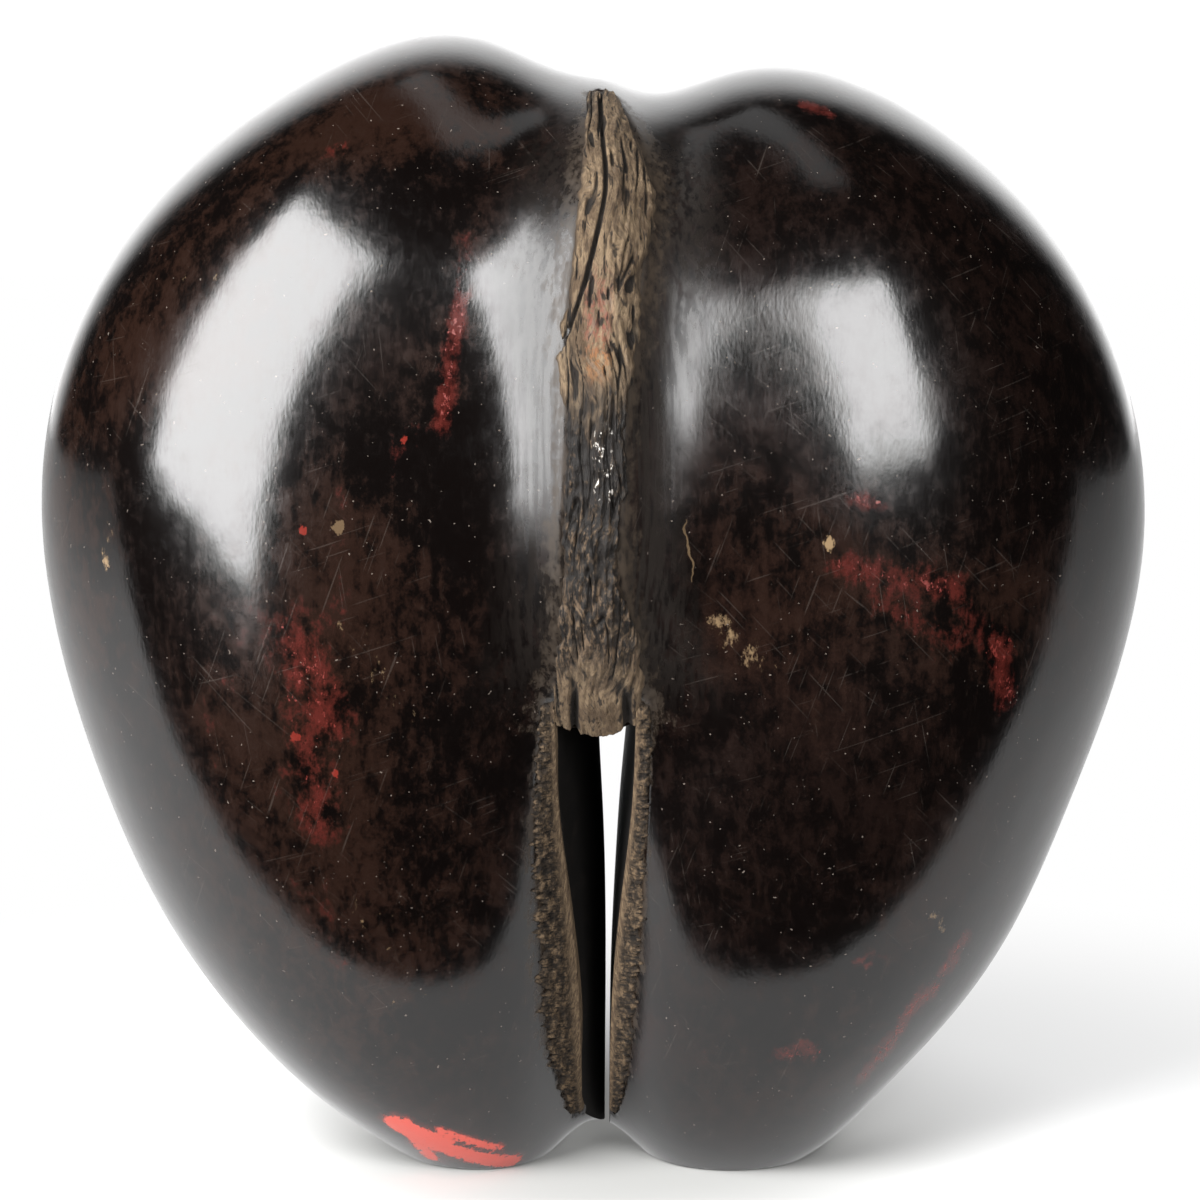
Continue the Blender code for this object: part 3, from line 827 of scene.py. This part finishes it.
RED_STROKES = (
    ((466, 238), (460, 330), 0.0030, 0.75),
    ((460, 300), (442, 425), 0.0028, 1.05),
    ((420, 440), (385, 470), 0.0060, 0.60),
    ((290, 630), (325, 720), 0.0090, 0.95),
    ((300, 700), (318, 830), 0.0070, 0.90),
    ((350, 500), (320, 640), 0.0070, 0.60),
    ((240, 600), (215, 740), 0.0080, 0.55),
    ((310, 890), (340, 960), 0.0070, 0.65),
    ((398, 1126), (440, 1146), 0.0046, 1.85),
    ((430, 1144), (512, 1164), 0.0038, 1.80),
    ((440, 1132), (500, 1150), 0.0022, 1.55),
    ((405, 1124), (430, 1160), 0.0032, 1.60),
    ((856, 500), (880, 506), 0.0026, 1.05),
    ((845, 565), (955, 590), 0.0050, 1.00),
    ((880, 600), (960, 640), 0.0055, 0.85),
    ((950, 590), (1005, 660), 0.0040, 0.85),
    ((1000, 640), (1008, 700), 0.0040, 1.15),
    ((855, 962), (880, 960), 0.0026, 1.00),
    ((965, 940), (930, 1000), 0.0036, 1.15),
    ((920, 1000), (870, 1075), 0.0042, 1.15),
    ((780, 1056), (815, 1052), 0.0034, 1.05),
    ((700, 1060), (690, 1100), 0.0050, 0.55),
    ((325, 150), (345, 146), 0.0024, 0.95),
    ((800, 102), (835, 114), 0.0024, 0.95),
)
CREAM_STROKES = (
    ((106, 528), (104, 566), 0.0026, 1.0),
    ((712, 624), (758, 662), 0.0034, 1.0),
    ((936, 915), (944, 930), 0.0020, 1.0),
    ((340, 620), (400, 720), 0.0050, 0.65),
    ((360, 900), (420, 1000), 0.0080, 0.55),
    ((150, 300), (230, 260), 0.0080, 0.45),
)
BROWN_STROKES = (
    ((330, 560), (330, 760), 0.028, 1.0),
    ((350, 800), (380, 980), 0.026, 1.0),
    ((150, 330), (260, 230), 0.022, 1.1),
    ((70, 350), (85, 620), 0.014, 1.1),
    ((280, 150), (450, 115), 0.013, 1.4),
    ((470, 250), (450, 420), 0.010, 0.8),
    ((840, 560), (980, 640), 0.018, 0.8),
    ((760, 520), (780, 620), 0.016, 0.6),
    ((900, 960), (840, 1060), 0.020, 0.6),
    ((500, 620), (470, 900), 0.012, 0.4),
)
RED_SPOTS = (
    ((302, 531), 0.0011, 0.9),
    ((336, 774), 0.0010, 0.9),
    ((403, 441), 0.0010, 0.9),
    ((583, 92), 0.0006, 0.8),
    ((296, 737), 0.0014, 0.8),
)
CREAM_SPOTS = (((829, 543), 0.0018, 0.9), ((340, 526), 0.0018, 0.35), ((104, 562), 0.0016, 0.9))
THIN_LINES = (
    ((686, 520), (694, 582), 0.00016),
    ((362, 818), (340, 890), 0.00016),
)
DULL_REACH = 2.2  # the keel's flanks are duller up to this many half widths of the band from its edge
DULL_FADE = 0.030
DULL_LEFT = 0.55
CLOUD_OCTAVES = ((24, 0.50), (60, 0.28), (150, 0.22))


def stroke_share(places, strokes):
    """A stroke's strength on its middle line, falling to 0 with distance from it."""
    share = np.zeros(len(places))
    for start, end, width, strength in strokes:
        first, last = on_skin((start, end))
        along = last - first
        part = np.clip((places - first) @ along / (along @ along), 0, 1)
        away = np.linalg.norm(places - first - part[:, None] * along, axis=1)
        share = np.maximum(share, strength * np.exp(-((away / width / 1.4) ** 2)))
    return share


def paint(body):
    """Keeps on the shell's points where its marks lie, for the shader to break up."""
    places = coordinates(body.data)
    for name, strokes in (("red", RED_STROKES), ("cream", CREAM_STROKES), ("brown", BROWN_STROKES)):
        set_attribute(body.data, name, stroke_share(places, strokes))
    x, y, z = places.T
    flank = smooth_step(1 - np.abs(x - band_middle(z)) / band_half(z), -DULL_REACH, -0.3)
    flank *= smooth_step(z, SLIT_TOP, SLIT_TOP + DULL_FADE)
    flank *= smooth_step(-y, BAND_TOP_DEPTH, BAND_TOP_DEPTH + DULL_FADE)
    set_attribute(body.data, "dull", flank * np.where(x < band_middle(z), DULL_LEFT, 1.0))
    near = np.maximum(band_inside(places), lip_inside(places))
    set_attribute(body.data, "near_fibre", smooth_step(near, -0.80, 0.05))
    cloud = sum(size * grain(places, scale, scale) for scale, size in CLOUD_OCTAVES)
    set_attribute(body.data, "cloud", 0.5 + cloud / 2)


# Materials

SHELL_DARK = (0.0040, 0.0019, 0.0014)
SHELL_BLACK = (0.0012, 0.0007, 0.0006)
SHELL_BROWN = (0.0082, 0.0036, 0.0023)
RED_PAINT = (0.0950, 0.0105, 0.0070)
DEEP_RED = (0.0400, 0.0058, 0.0042)
CREAM_PAINT = (0.1500, 0.1000, 0.0540)
DUST = (0.1500, 0.1250, 0.1050)
GRIME = (0.0230, 0.0160, 0.0105)
PATCH_RED = (0.4000, 0.0480, 0.0300)
# grey of the worn keel flanks, partly a painted sheen
FLANK_WEAR_AND_SHEEN_GREY = (0.0110, 0.0090, 0.0078)
FIBRE_TAN = (0.1500, 0.1060, 0.0640)
FIBRE_BROWN = (0.0500, 0.0320, 0.0180)
FIBRE_BLACK = (0.0045, 0.0033, 0.0026)
FIBRE_GREY = (0.1000, 0.0820, 0.0650)
FIBRE_DULL = (0.0800, 0.0530, 0.0320)
FIBRE_UMBER = (0.0210, 0.0140, 0.0090)
# a near-white painted glint
PAINTED_GLINT = (0.5000, 0.4800, 0.4500)
RUSTY = (0.1300, 0.0600, 0.0230)
REDDISH = (0.1100, 0.0420, 0.0270)
LIP_OUTER = ((0.0140, 0.0095, 0.0060), (0.0850, 0.0570, 0.0330))
LIP_RIM = ((0.0460, 0.0300, 0.0180), (0.1050, 0.0730, 0.0430))
WALL_COLOURS = ((0.0022, 0.0016, 0.0012), (0.0070, 0.0050, 0.0040))

# Noises: waves per metre along each axis, octaves and roughness
SHELL_GRAIN = ((230, 230, 160), 6.0, 0.76)
SHELL_FLECKS = ((420, 420, 260), 4.0, 0.72)
SHELL_STREAKS = ((620, 620, 26), 4.0, 0.62)
SHELL_CHIPS = ((780, 780, 480), 4.0, 0.76)
SHELL_SWELL = ((70, 70, 70), 1.0)
SHELL_PORES = ((1100, 1100, 420), 2.0)
DUST_SPECKS = ((1300, 1300, 1300), 0.0)
SCRATCH_SHEETS = ((2600, 55, 55), 0.0)
LINE_WANDER = ((300, 300, 300), 1.0)
WALL_GRAIN = ((260, 90, 260), 4.0)
HUSK_WANDER = ((170, 170, 60), 3.0)
HUSK_BEND = ((80, 80, 50), 2.0)
HUSK_HAIR = ((1300, 600, 80), 5.0, 0.66)
HUSK_FINE = ((4200, 2600, 600), 2.0)
HUSK_PATCHES = ((260, 200, 100), 6.0, 0.72)
HUSK_CRUMBS = ((760, 500, 420), 5.0, 0.72)
HUSK_PITS = ((1000, 500, 230), 2.0)
LIP_PATCHES = ((560, 560, 360), 5.0, 0.70)
LIP_TICKS = ((420, 420, 1500), 3.0, 0.60)
LIP_HAIR = ((1800, 1800, 130), 4.0)

# Coats: the values between which a coat fades in, its strength and its colour
BROWN_COAT = (0.94, 1.18, 0.95, SHELL_BROWN)
SMEAR_COAT = (0.72, 0.92, 0.90, DEEP_RED)
CREAM_COAT = (0.80, 0.98, 0.70, CREAM_PAINT)
DUST_COAT = (0.825, 0.87, 0.50, DUST)
# painted shade where the hair's bump is low
TAN_HOLLOW_SHADE = (0.50, 0.40, 0.55, FIBRE_UMBER)
TAN_RIDGES = (0.58, 0.70, 0.45, FIBRE_GREY)
TAN_LINES = (0.50, 0.36, 0.45, FIBRE_BROWN)
TAN_FOOT = (0.150, 0.130, 0.35, FIBRE_BROWN)
DARK_CRUMBS = (0.50, 0.66, 0.85, FIBRE_BROWN)
DARK_RIDGES = (0.32, 0.39, 0.80, FIBRE_DULL)
# painted shade where the hair's bump is low
DARK_HOLLOW_SHADE = (0.52, 0.44, 0.80, FIBRE_BLACK)
WARM_RIDGES = (0.48, 0.60, 0.60, FIBRE_GREY)
HUSK_PIT_COAT = (0.58, 0.67, 0.85, FIBRE_BLACK)
# painted shade in the keel fibre relief's hollows
HUSK_HOLLOW_SHADE = (0.12, 0.65, 0.95, FIBRE_BLACK)
HUSK_EDGES = (0.15, 0.80, 0.75, FIBRE_UMBER)
LIP_TICK_COAT = (0.50, 0.62, 0.80, FIBRE_BLACK)
LIP_RIM_PATCHES = (0.56, 0.66, 0.60, FIBRE_UMBER)
# painted shade in the lip relief's hollows
LIP_HOLLOW_SHADE = (0.15, 0.70, 0.92, FIBRE_BLACK)
LIP_EDGES = (0.25, 0.85, 0.80, FIBRE_BLACK)

# How the shell's noises and marks add up
STREAK_WEIGHT = 0.22
GRAIN_WEIGHT = 0.98
CLOUD_WEIGHT = 0.45
BROWN_WEIGHT = 0.26
MARK_WEIGHT = 0.34
SMEAR_WEIGHT = 0.83
CHIP_WEIGHTS = (0.35, 0.65)
GRIME_WEIGHTS = (0.5, 0.9)
DARK_TONES = (0.74, 0.94)
BRIGHT_RED = (0.885, 0.945)
PATCH_STRENGTHS = (1.15, 1.35)  # a red stroke stronger than this is a patch of fresh paint
GRIME_LIMITS = (0.86, 1.16)
GRIME_STRENGTH = 0.85
FLANK_STREAKS = (0.62, 0.42)
SPOT_UNEVEN = 3.4
SPOT_EDGE = (0.75, 1.05)
LINE_EDGE = 2.5
LINE_BEND = 0.0030  # metres that a thin line wanders
LINE_STRENGTH = 0.35
SCRATCH_TURNS = (
    (0.10, 0.35, 0.0),
    (-0.20, 1.25, 0.1),
    (0.15, -0.75, 0.0),
    (-0.10, 2.25, 0.1),
    (0.10, -0.15, -0.2),
)
SCRATCH_LIMIT = 0.77
SCRATCH_RARER = 0.008  # each direction has fewer scratches than the one before
SCRATCH_FADE = 0.05
SCRATCH_PLACES = (0.86, 1.12)
SCRATCH_STRENGTH = 0.060
ROUGH_CLOUDS = (0.25, 0.80, 0.13, 0.17)
ROUGH_TEXTURE = (0.50, 0.80, 0.0, 0.06)
ROUGH_FLANK = (0.40, 0.60, 0.10, 0.26)
ROUGH_MARKS = 0.22
ROUGH_WORN = 0.05
PORE_SHARE = 0.12
SHELL_RELIEF = 0.00014
SHEEN = 0.5
SHEEN_LOST = 0.36  # on the dull flank

# Zones of the husk, by height: where each starts, is full, fades and ends
LEVEL_WANDER = 0.036
HAIR_BEND = 0.012
DARK_ZONE = (0.134, 0.150, 0.196, 0.218)
# where the husk's painted glints lie
GLINT_ZONE = (0.180, 0.184, 0.197, 0.201)
GLINT_ACROSS = (0.0022, 0.0030, 0.0014)  # its middle, and how far aside it ends and is full
GLINT_CRUMBS = (0.59, 0.62)
WARM_ZONE = (0.207, 0.214, 0.226, 0.240)
WARM_ACROSS = (0.0010, 0.0046, 0.0014)
WARM_CRUMBS = (0.42, 0.56)
WARM_TURN = (0.214, 0.222)
CRUMBLY_HEIGHTS = (0.192, 0.150)
CRUMBLY_WEIGHT = 0.09
HUSK_TONES = (0.36, 0.66)
HUSK_RELIEF = 0.0006


def line_share(made, line, place):
    """A thin scratch between two of the photograph's pixels."""
    start, end, width = line
    first, last = (Vector(point) for point in on_skin((start, end)))
    length = (last - first).length
    direction = (last - first) / length
    offset = made.vector("SUBTRACT", place, first)
    along = made.vector("DOT_PRODUCT", offset, direction, "Value")
    part = made.math("MINIMUM", made.math("MAXIMUM", along), length)
    reached = made.vector("MULTIPLY", direction, part)
    return made.step(made.vector("DISTANCE", offset, reached, "Value"), width, width * LINE_EDGE, 1.0, 0.0)


def spot_share(made, spot, uneven):
    """A spot with an uneven edge at one of the photograph's pixels."""
    pixel, size, strength = spot
    away = made.vector("DISTANCE", made.place, Vector(on_skin((pixel,))[0]), "Value")
    reach = made.plus(made.math("SUBTRACT", away, size * SPOT_UNEVEN / 2), uneven, size * SPOT_UNEVEN)
    return made.step(reach, size * SPOT_EDGE[0], size * SPOT_EDGE[1], strength, 0.0)


def scratches(made):
    """Fine hairlines. Each is where a thin sheet cuts the skin, so that it runs along the skin everywhere."""
    lines = []
    for index, turn in enumerate(SCRATCH_TURNS):
        limit = SCRATCH_LIMIT + SCRATCH_RARER * index
        lines.append(made.step(made.noise(*SCRATCH_SHEETS, rotation=turn), limit, limit + SCRATCH_FADE))
    return made.most(lines)


def thin_lines(made):
    wander = made.vector("MULTIPLY", made.noise(*LINE_WANDER), (LINE_BEND, 0.0, 0.0))
    place = made.vector("ADD", made.place, made.vector("SUBTRACT", wander, (LINE_BEND / 2, 0.0, 0.0)))
    return made.most(line_share(made, line, place) for line in THIN_LINES)


def shell_material():
    made = Shader("polished_shell", (0.03, 0.018, 0.015))
    cloud = made.attribute("cloud")
    dull = made.attribute("dull")
    grainy = made.noise(*SHELL_GRAIN)
    fleck = made.noise(*SHELL_FLECKS)
    streak = made.noise(*SHELL_STREAKS)
    texture = made.plus(made.times(grainy, GRAIN_WEIGHT), streak, STREAK_WEIGHT)
    tone = made.plus(texture, cloud, CLOUD_WEIGHT)
    colour = made.mix(made.step(tone, *DARK_TONES), SHELL_BLACK, SHELL_DARK)
    brown = made.plus(tone, made.attribute("brown"), BROWN_WEIGHT)
    colour = made.coat(colour, brown, *BROWN_COAT)
    red = made.times(made.attribute("red"), MARK_WEIGHT)
    colour = made.coat(colour, made.plus(red, texture, SMEAR_WEIGHT), *SMEAR_COAT)
    chips = made.times(made.noise(*SHELL_CHIPS), CHIP_WEIGHTS[1])
    chips = made.plus(chips, fleck, CHIP_WEIGHTS[0])
    bright = made.step(made.math("ADD", red, chips), *BRIGHT_RED)
    paint_red = made.mix(made.step(made.attribute("red"), *PATCH_STRENGTHS), RED_PAINT, PATCH_RED)
    colour = made.mix(bright, colour, paint_red)
    cream = made.plus(fleck, made.attribute("cream"), MARK_WEIGHT)
    colour = made.coat(colour, cream, *CREAM_COAT)
    for spots, paint in ((RED_SPOTS, RED_PAINT), (CREAM_SPOTS, CREAM_PAINT)):
        share = made.most(spot_share(made, spot, fleck) for spot in spots)
        colour = made.mix(share, colour, paint)
    colour = made.coat(colour, made.noise(*DUST_SPECKS), *DUST_COAT)
    worn_places = made.step(made.math("ADD", cloud, grainy), *SCRATCH_PLACES)
    worn = made.times(scratches(made), worn_places)
    colour = made.mix(made.times(worn, SCRATCH_STRENGTH), colour, DUST)
    colour = made.mix(made.times(thin_lines(made), LINE_STRENGTH), colour, CREAM_PAINT)
    # the dull flanks turn grey between dark streaks: worn shell, partly painted sheen
    colour = made.mix(made.times(dull, made.step(streak, *FLANK_STREAKS)), colour, FLANK_WEAR_AND_SHEEN_GREY)
    grime = made.times(fleck, GRIME_WEIGHTS[1])
    grime = made.plus(grime, made.attribute("near_fibre"), MARK_WEIGHT)
    grime = made.step(made.plus(grime, streak, GRIME_WEIGHTS[0]), *GRIME_LIMITS)
    colour = made.mix(made.times(grime, GRIME_STRENGTH), colour, GRIME)
    rough = made.math("ADD", made.step(cloud, *ROUGH_CLOUDS), made.step(texture, *ROUGH_TEXTURE))
    rough = made.plus(rough, dull, made.step(streak, *ROUGH_FLANK))
    rough = made.plus(rough, made.math("MAXIMUM", bright, grime), ROUGH_MARKS)
    rough = made.plus(rough, worn, ROUGH_WORN)
    relief = made.plus(made.noise(*SHELL_SWELL), made.noise(*SHELL_PORES), PORE_SHARE)
    normal = made.bump(relief, SHELL_RELIEF)
    sheen = made.plus(SHEEN, dull, -SHEEN_LOST)
    return made.finish(Base_Color=colour, Roughness=rough, Normal=normal, IOR=1.5, Specular_IOR_Level=sheen)


def wall_material():
    made = Shader("slit_wall", (0.02, 0.015, 0.01))
    colour = made.mix(made.step(made.noise(*WALL_GRAIN), 0.45, 0.8), *WALL_COLOURS)
    return made.finish(Base_Color=colour, Roughness=0.75, Specular_IOR_Level=0.2)


def fibre_material():
    """The weathered husk: tan above, black with brown crumbs in the middle and tan again over the slit."""
    made = Shader("husk_fibre", (0.20, 0.14, 0.09))
    split = made.node("ShaderNodeSeparateXYZ", {0: made.place})
    height = split.outputs["Z"]
    lowered = made.math("SUBTRACT", height, LEVEL_WANDER / 2)
    level = made.plus(lowered, made.noise(*HUSK_WANDER), LEVEL_WANDER)
    bend = made.plus(-HAIR_BEND / 2, made.noise(*HUSK_BEND), HAIR_BEND)
    bent = made.vector("ADD", made.place, made.node("ShaderNodeCombineXYZ", {"X": bend}).outputs[0])
    hair = made.noise(*HUSK_HAIR, place=bent)
    fine = made.noise(*HUSK_FINE, place=bent)
    crumbs = made.noise(*HUSK_CRUMBS)

    def near_line(middle, end, full):
        aside = made.math("ABSOLUTE", made.math("SUBTRACT", split.outputs["X"], middle))
        return made.step(aside, end, full)

    colour = made.mix(made.step(made.noise(*HUSK_PATCHES), *HUSK_TONES), FIBRE_BROWN, FIBRE_TAN)
    # the first coat darkens where the hair's bump is low: painted shade in its hollows
    for value, coat in ((hair, TAN_HOLLOW_SHADE), (hair, TAN_RIDGES), (fine, TAN_LINES), (level, TAN_FOOT)):
        colour = made.coat(colour, value, *coat)
    lower = made.plus(crumbs, made.step(level, *CRUMBLY_HEIGHTS), CRUMBLY_WEIGHT)
    ridges = made.times(lower, hair)
    dark = FIBRE_BLACK
    # the last coat blackens where the hair's bump is low: painted shade in its hollows
    for value, coat in ((lower, DARK_CRUMBS), (ridges, DARK_RIDGES), (hair, DARK_HOLLOW_SHADE)):
        dark = made.coat(dark, value, *coat)
    middle = made.zone(level, *DARK_ZONE)
    colour = made.mix(middle, colour, dark)
    # painted glints: near-white specks on crumbs in a small zone of the band
    painted_glints = made.times(made.zone(height, *GLINT_ZONE), near_line(*GLINT_ACROSS))
    painted_glints = made.times(painted_glints, made.step(crumbs, *GLINT_CRUMBS))
    colour = made.mix(painted_glints, colour, PAINTED_GLINT)
    warm = made.coat(made.mix(made.step(height, *WARM_TURN), RUSTY, REDDISH), hair, *WARM_RIDGES)
    near = made.times(made.zone(height, *WARM_ZONE), near_line(*WARM_ACROSS))
    colour = made.mix(made.times(near, made.step(crumbs, *WARM_CRUMBS)), colour, warm)
    colour = made.coat(colour, made.noise(*HUSK_PITS, place=bent), *HUSK_PIT_COAT)
    # painted shade in the relief's hollows
    colour = made.coat(colour, made.attribute("hollow_shade"), *HUSK_HOLLOW_SHADE)
    colour = made.coat(colour, made.attribute("edge"), *HUSK_EDGES)
    rough = made.plus(0.84, middle, -0.22)
    relief = made.plus(made.plus(hair, crumbs, 0.5), fine, 0.35)
    normal = made.bump(relief, HUSK_RELIEF)
    return made.finish(Base_Color=colour, Roughness=rough, Normal=normal, Specular_IOR_Level=0.25)


def lip_material():
    """The slit's lips: a worn tan band along the edge and rough dark husk outside it."""
    made = Shader("lip_fibre", (0.20, 0.14, 0.09))
    patch = made.noise(*LIP_PATCHES)
    hair = made.noise(*LIP_HAIR)
    outer = made.mix(made.step(patch, 0.42, 0.66), *LIP_OUTER)
    outer = made.coat(outer, made.noise(*LIP_TICKS), *LIP_TICK_COAT)
    rim = made.coat(made.mix(made.step(hair, 0.38, 0.66), *LIP_RIM), patch, *LIP_RIM_PATCHES)
    colour = made.mix(made.attribute("rim"), outer, rim)
    # painted shade in the relief's hollows
    colour = made.coat(colour, made.attribute("hollow_shade"), *LIP_HOLLOW_SHADE)
    colour = made.coat(colour, made.attribute("edge"), *LIP_EDGES)
    normal = made.bump(made.plus(patch, hair, 0.5), HUSK_RELIEF)
    return made.finish(Base_Color=colour, Roughness=0.86, Normal=normal, Specular_IOR_Level=0.2)


# The studio

FLOOR_SIZE = 6.0
FLOOR_CONTACT = (0.035, 0.150)  # between these distances from the nut the floor leaves its contact shadow
FLOOR_CLEAR = 0.11  # beyond these distances from the nut the floor turns as white as the backdrop
FLOOR_WHITE = 0.32
REFLECTED_FRONT = -0.11  # the floor that shows in the polish starts here
FLOOR_GAP = 0.0003
# the painted contact shadow's colour
PAINTED_CONTACT_SHADOW = (0.42, 0.42, 0.41)
FLOOR_PALE = (0.92, 0.92, 0.92)
REFLECTED_GREY = (0.5, 0.5, 0.5, 1)
REFLECTED_GLOW = 0.38
BRIGHT_WAY = (0.0, 1.0, 0.35)  # the backdrop is bright behind the nut, and more so above
BRIGHT_FROM = 0.66  # how much a direction agrees with that way where the light starts to grow
BRIGHT_FULL = 0.96
DIM_LIGHT = 0.02
BRIGHT_LIGHT = 3.0
LIGHT_AIM = Vector((0, 0, 0.16))
LIGHTS = (
    ("left", (-0.36, -0.63, 0.69), (-0.75, -0.61, -0.08), 0.9, 0.53, 25),
    ("right", (0.28, -0.80, 0.54), (0.41, -0.90, 0.06), 1.1, 0.38, 11.5),
    ("top", (-0.14, 0.22, 0.95), (0.24, -0.44, 0.88), 1.2, 0.20, 0.6),
)


def plane(name, centre, size, material):
    bm = bmesh.new()
    bmesh.ops.create_grid(bm, x_segments=1, y_segments=1, size=0.5, matrix=Matrix.Diagonal((*size, 1, 1)))
    made = new_object(name, bm, material)
    made.location = centre
    return made


def floor_material():
    made = Shader("studio_floor", (0.9, 0.9, 0.9))
    flat = made.vector("MULTIPLY", made.place, (1.0, 1.0, 0.0))
    away = made.vector("LENGTH", flat, output="Value")
    white = made.node("ShaderNodeEmission", {"Color": (1, 1, 1, 1), "Strength": 1.0}).outputs[0]
    # painted contact shadow: the floor's colour is grey near the nut
    near = made.mix(made.step(away, *FLOOR_CONTACT), PAINTED_CONTACT_SHADOW, FLOOR_PALE)
    made.finish(Base_Color=near, Roughness=0.9, Specular_IOR_Level=0.0)
    mixed = made.node("ShaderNodeMixShader", {0: made.step(away, FLOOR_CLEAR, FLOOR_WHITE), 2: white})
    made.tree.links.new(made.surface.outputs[0], mixed.inputs[1])
    made.tree.links.new(mixed.outputs[0], made.tree.nodes["Material Output"].inputs["Surface"])
    return made.material


def reflected_material():
    made = Shader("reflected_floor", (0.9, 0.9, 0.9))
    glow = {"Emission_Color": (1, 1, 1, 1), "Emission_Strength": REFLECTED_GLOW}
    return made.finish(Base_Color=REFLECTED_GREY, Roughness=0.8, **glow)


def floors():
    floor = plane("studio_floor", (0, 0, -FLOOR_GAP), (FLOOR_SIZE, FLOOR_SIZE), floor_material())
    floor.visible_glossy = False
    reach = FLOOR_SIZE / 2
    centre = (0, REFLECTED_FRONT + reach / 2, 0)
    shown = plane("reflected_floor", centre, (FLOOR_SIZE, reach), reflected_material())
    shown.visible_camera = False
    shown.visible_diffuse = False
    shown.visible_shadow = False
    return floor, shown


def soft_light(name, top, bottom, distance, width, power):
    """A panel of light that faces the nut. top and bottom are the directions in which its ends lie."""
    top, bottom = (Vector(way).normalized() * distance for way in (top, bottom))
    middle, along = (top + bottom) / 2, top - bottom
    light = bpy.data.lights.new(name, "AREA")
    light.shape = "RECTANGLE"
    light.size, light.size_y = width, along.length
    light.energy = power
    made = bpy.data.objects.new(name, light)
    bpy.context.scene.collection.objects.link(made)
    back = middle.normalized()
    side = along.cross(back).normalized()
    turn = Matrix((side, back.cross(side), back)).transposed().to_4x4()
    made.matrix_world = Matrix.Translation(LIGHT_AIM + middle) @ turn
    made.visible_camera = False


def world():
    """White to the camera. To the nut it is dark in front and bright behind, above and at the sides."""
    made = bpy.data.worlds.new("studio")
    made.use_nodes = True
    nodes = Nodes(made.node_tree, "Generated")
    background = nodes.tree.nodes["Background"]
    background.inputs["Color"].default_value = (1, 1, 1, 1)
    behind = nodes.vector("DOT_PRODUCT", nodes.place, BRIGHT_WAY, "Value")
    light = nodes.step(behind, BRIGHT_FROM, BRIGHT_FULL, DIM_LIGHT, BRIGHT_LIGHT)
    seen = nodes.node("ShaderNodeLightPath").outputs["Is Camera Ray"]
    nodes.put(background.inputs["Strength"], nodes.math("MAXIMUM", light, seen))
    bpy.context.scene.world = made


def camera():
    made = bpy.data.objects.new("camera", bpy.data.cameras.new("camera"))
    bpy.context.scene.collection.objects.link(made)
    made.data.lens = LENS
    made.data.sensor_width = SENSOR
    made.location = camera_place()
    made.rotation_euler = (CAMERA_TARGET - made.location).to_track_quat("-Z", "Y").to_euler()
    bpy.context.scene.camera = made


def main():
    body = shell(shell_material(), wall_material())
    paint(body)
    lips = lip_material()
    pieces = [
        body,
        keel_fibre(fibre_material()),
        lip_fibre(-1, "lip_fibre_left", lips),
        lip_fibre(1, "lip_fibre_right", lips),
    ]
    for piece in pieces:
        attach(piece, "root")
        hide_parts("nut")
    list(floors())
    for light in LIGHTS:
        soft_light(*light)
    world()
    bpy.context.scene.view_settings.view_transform = "Standard"
    camera()


main()
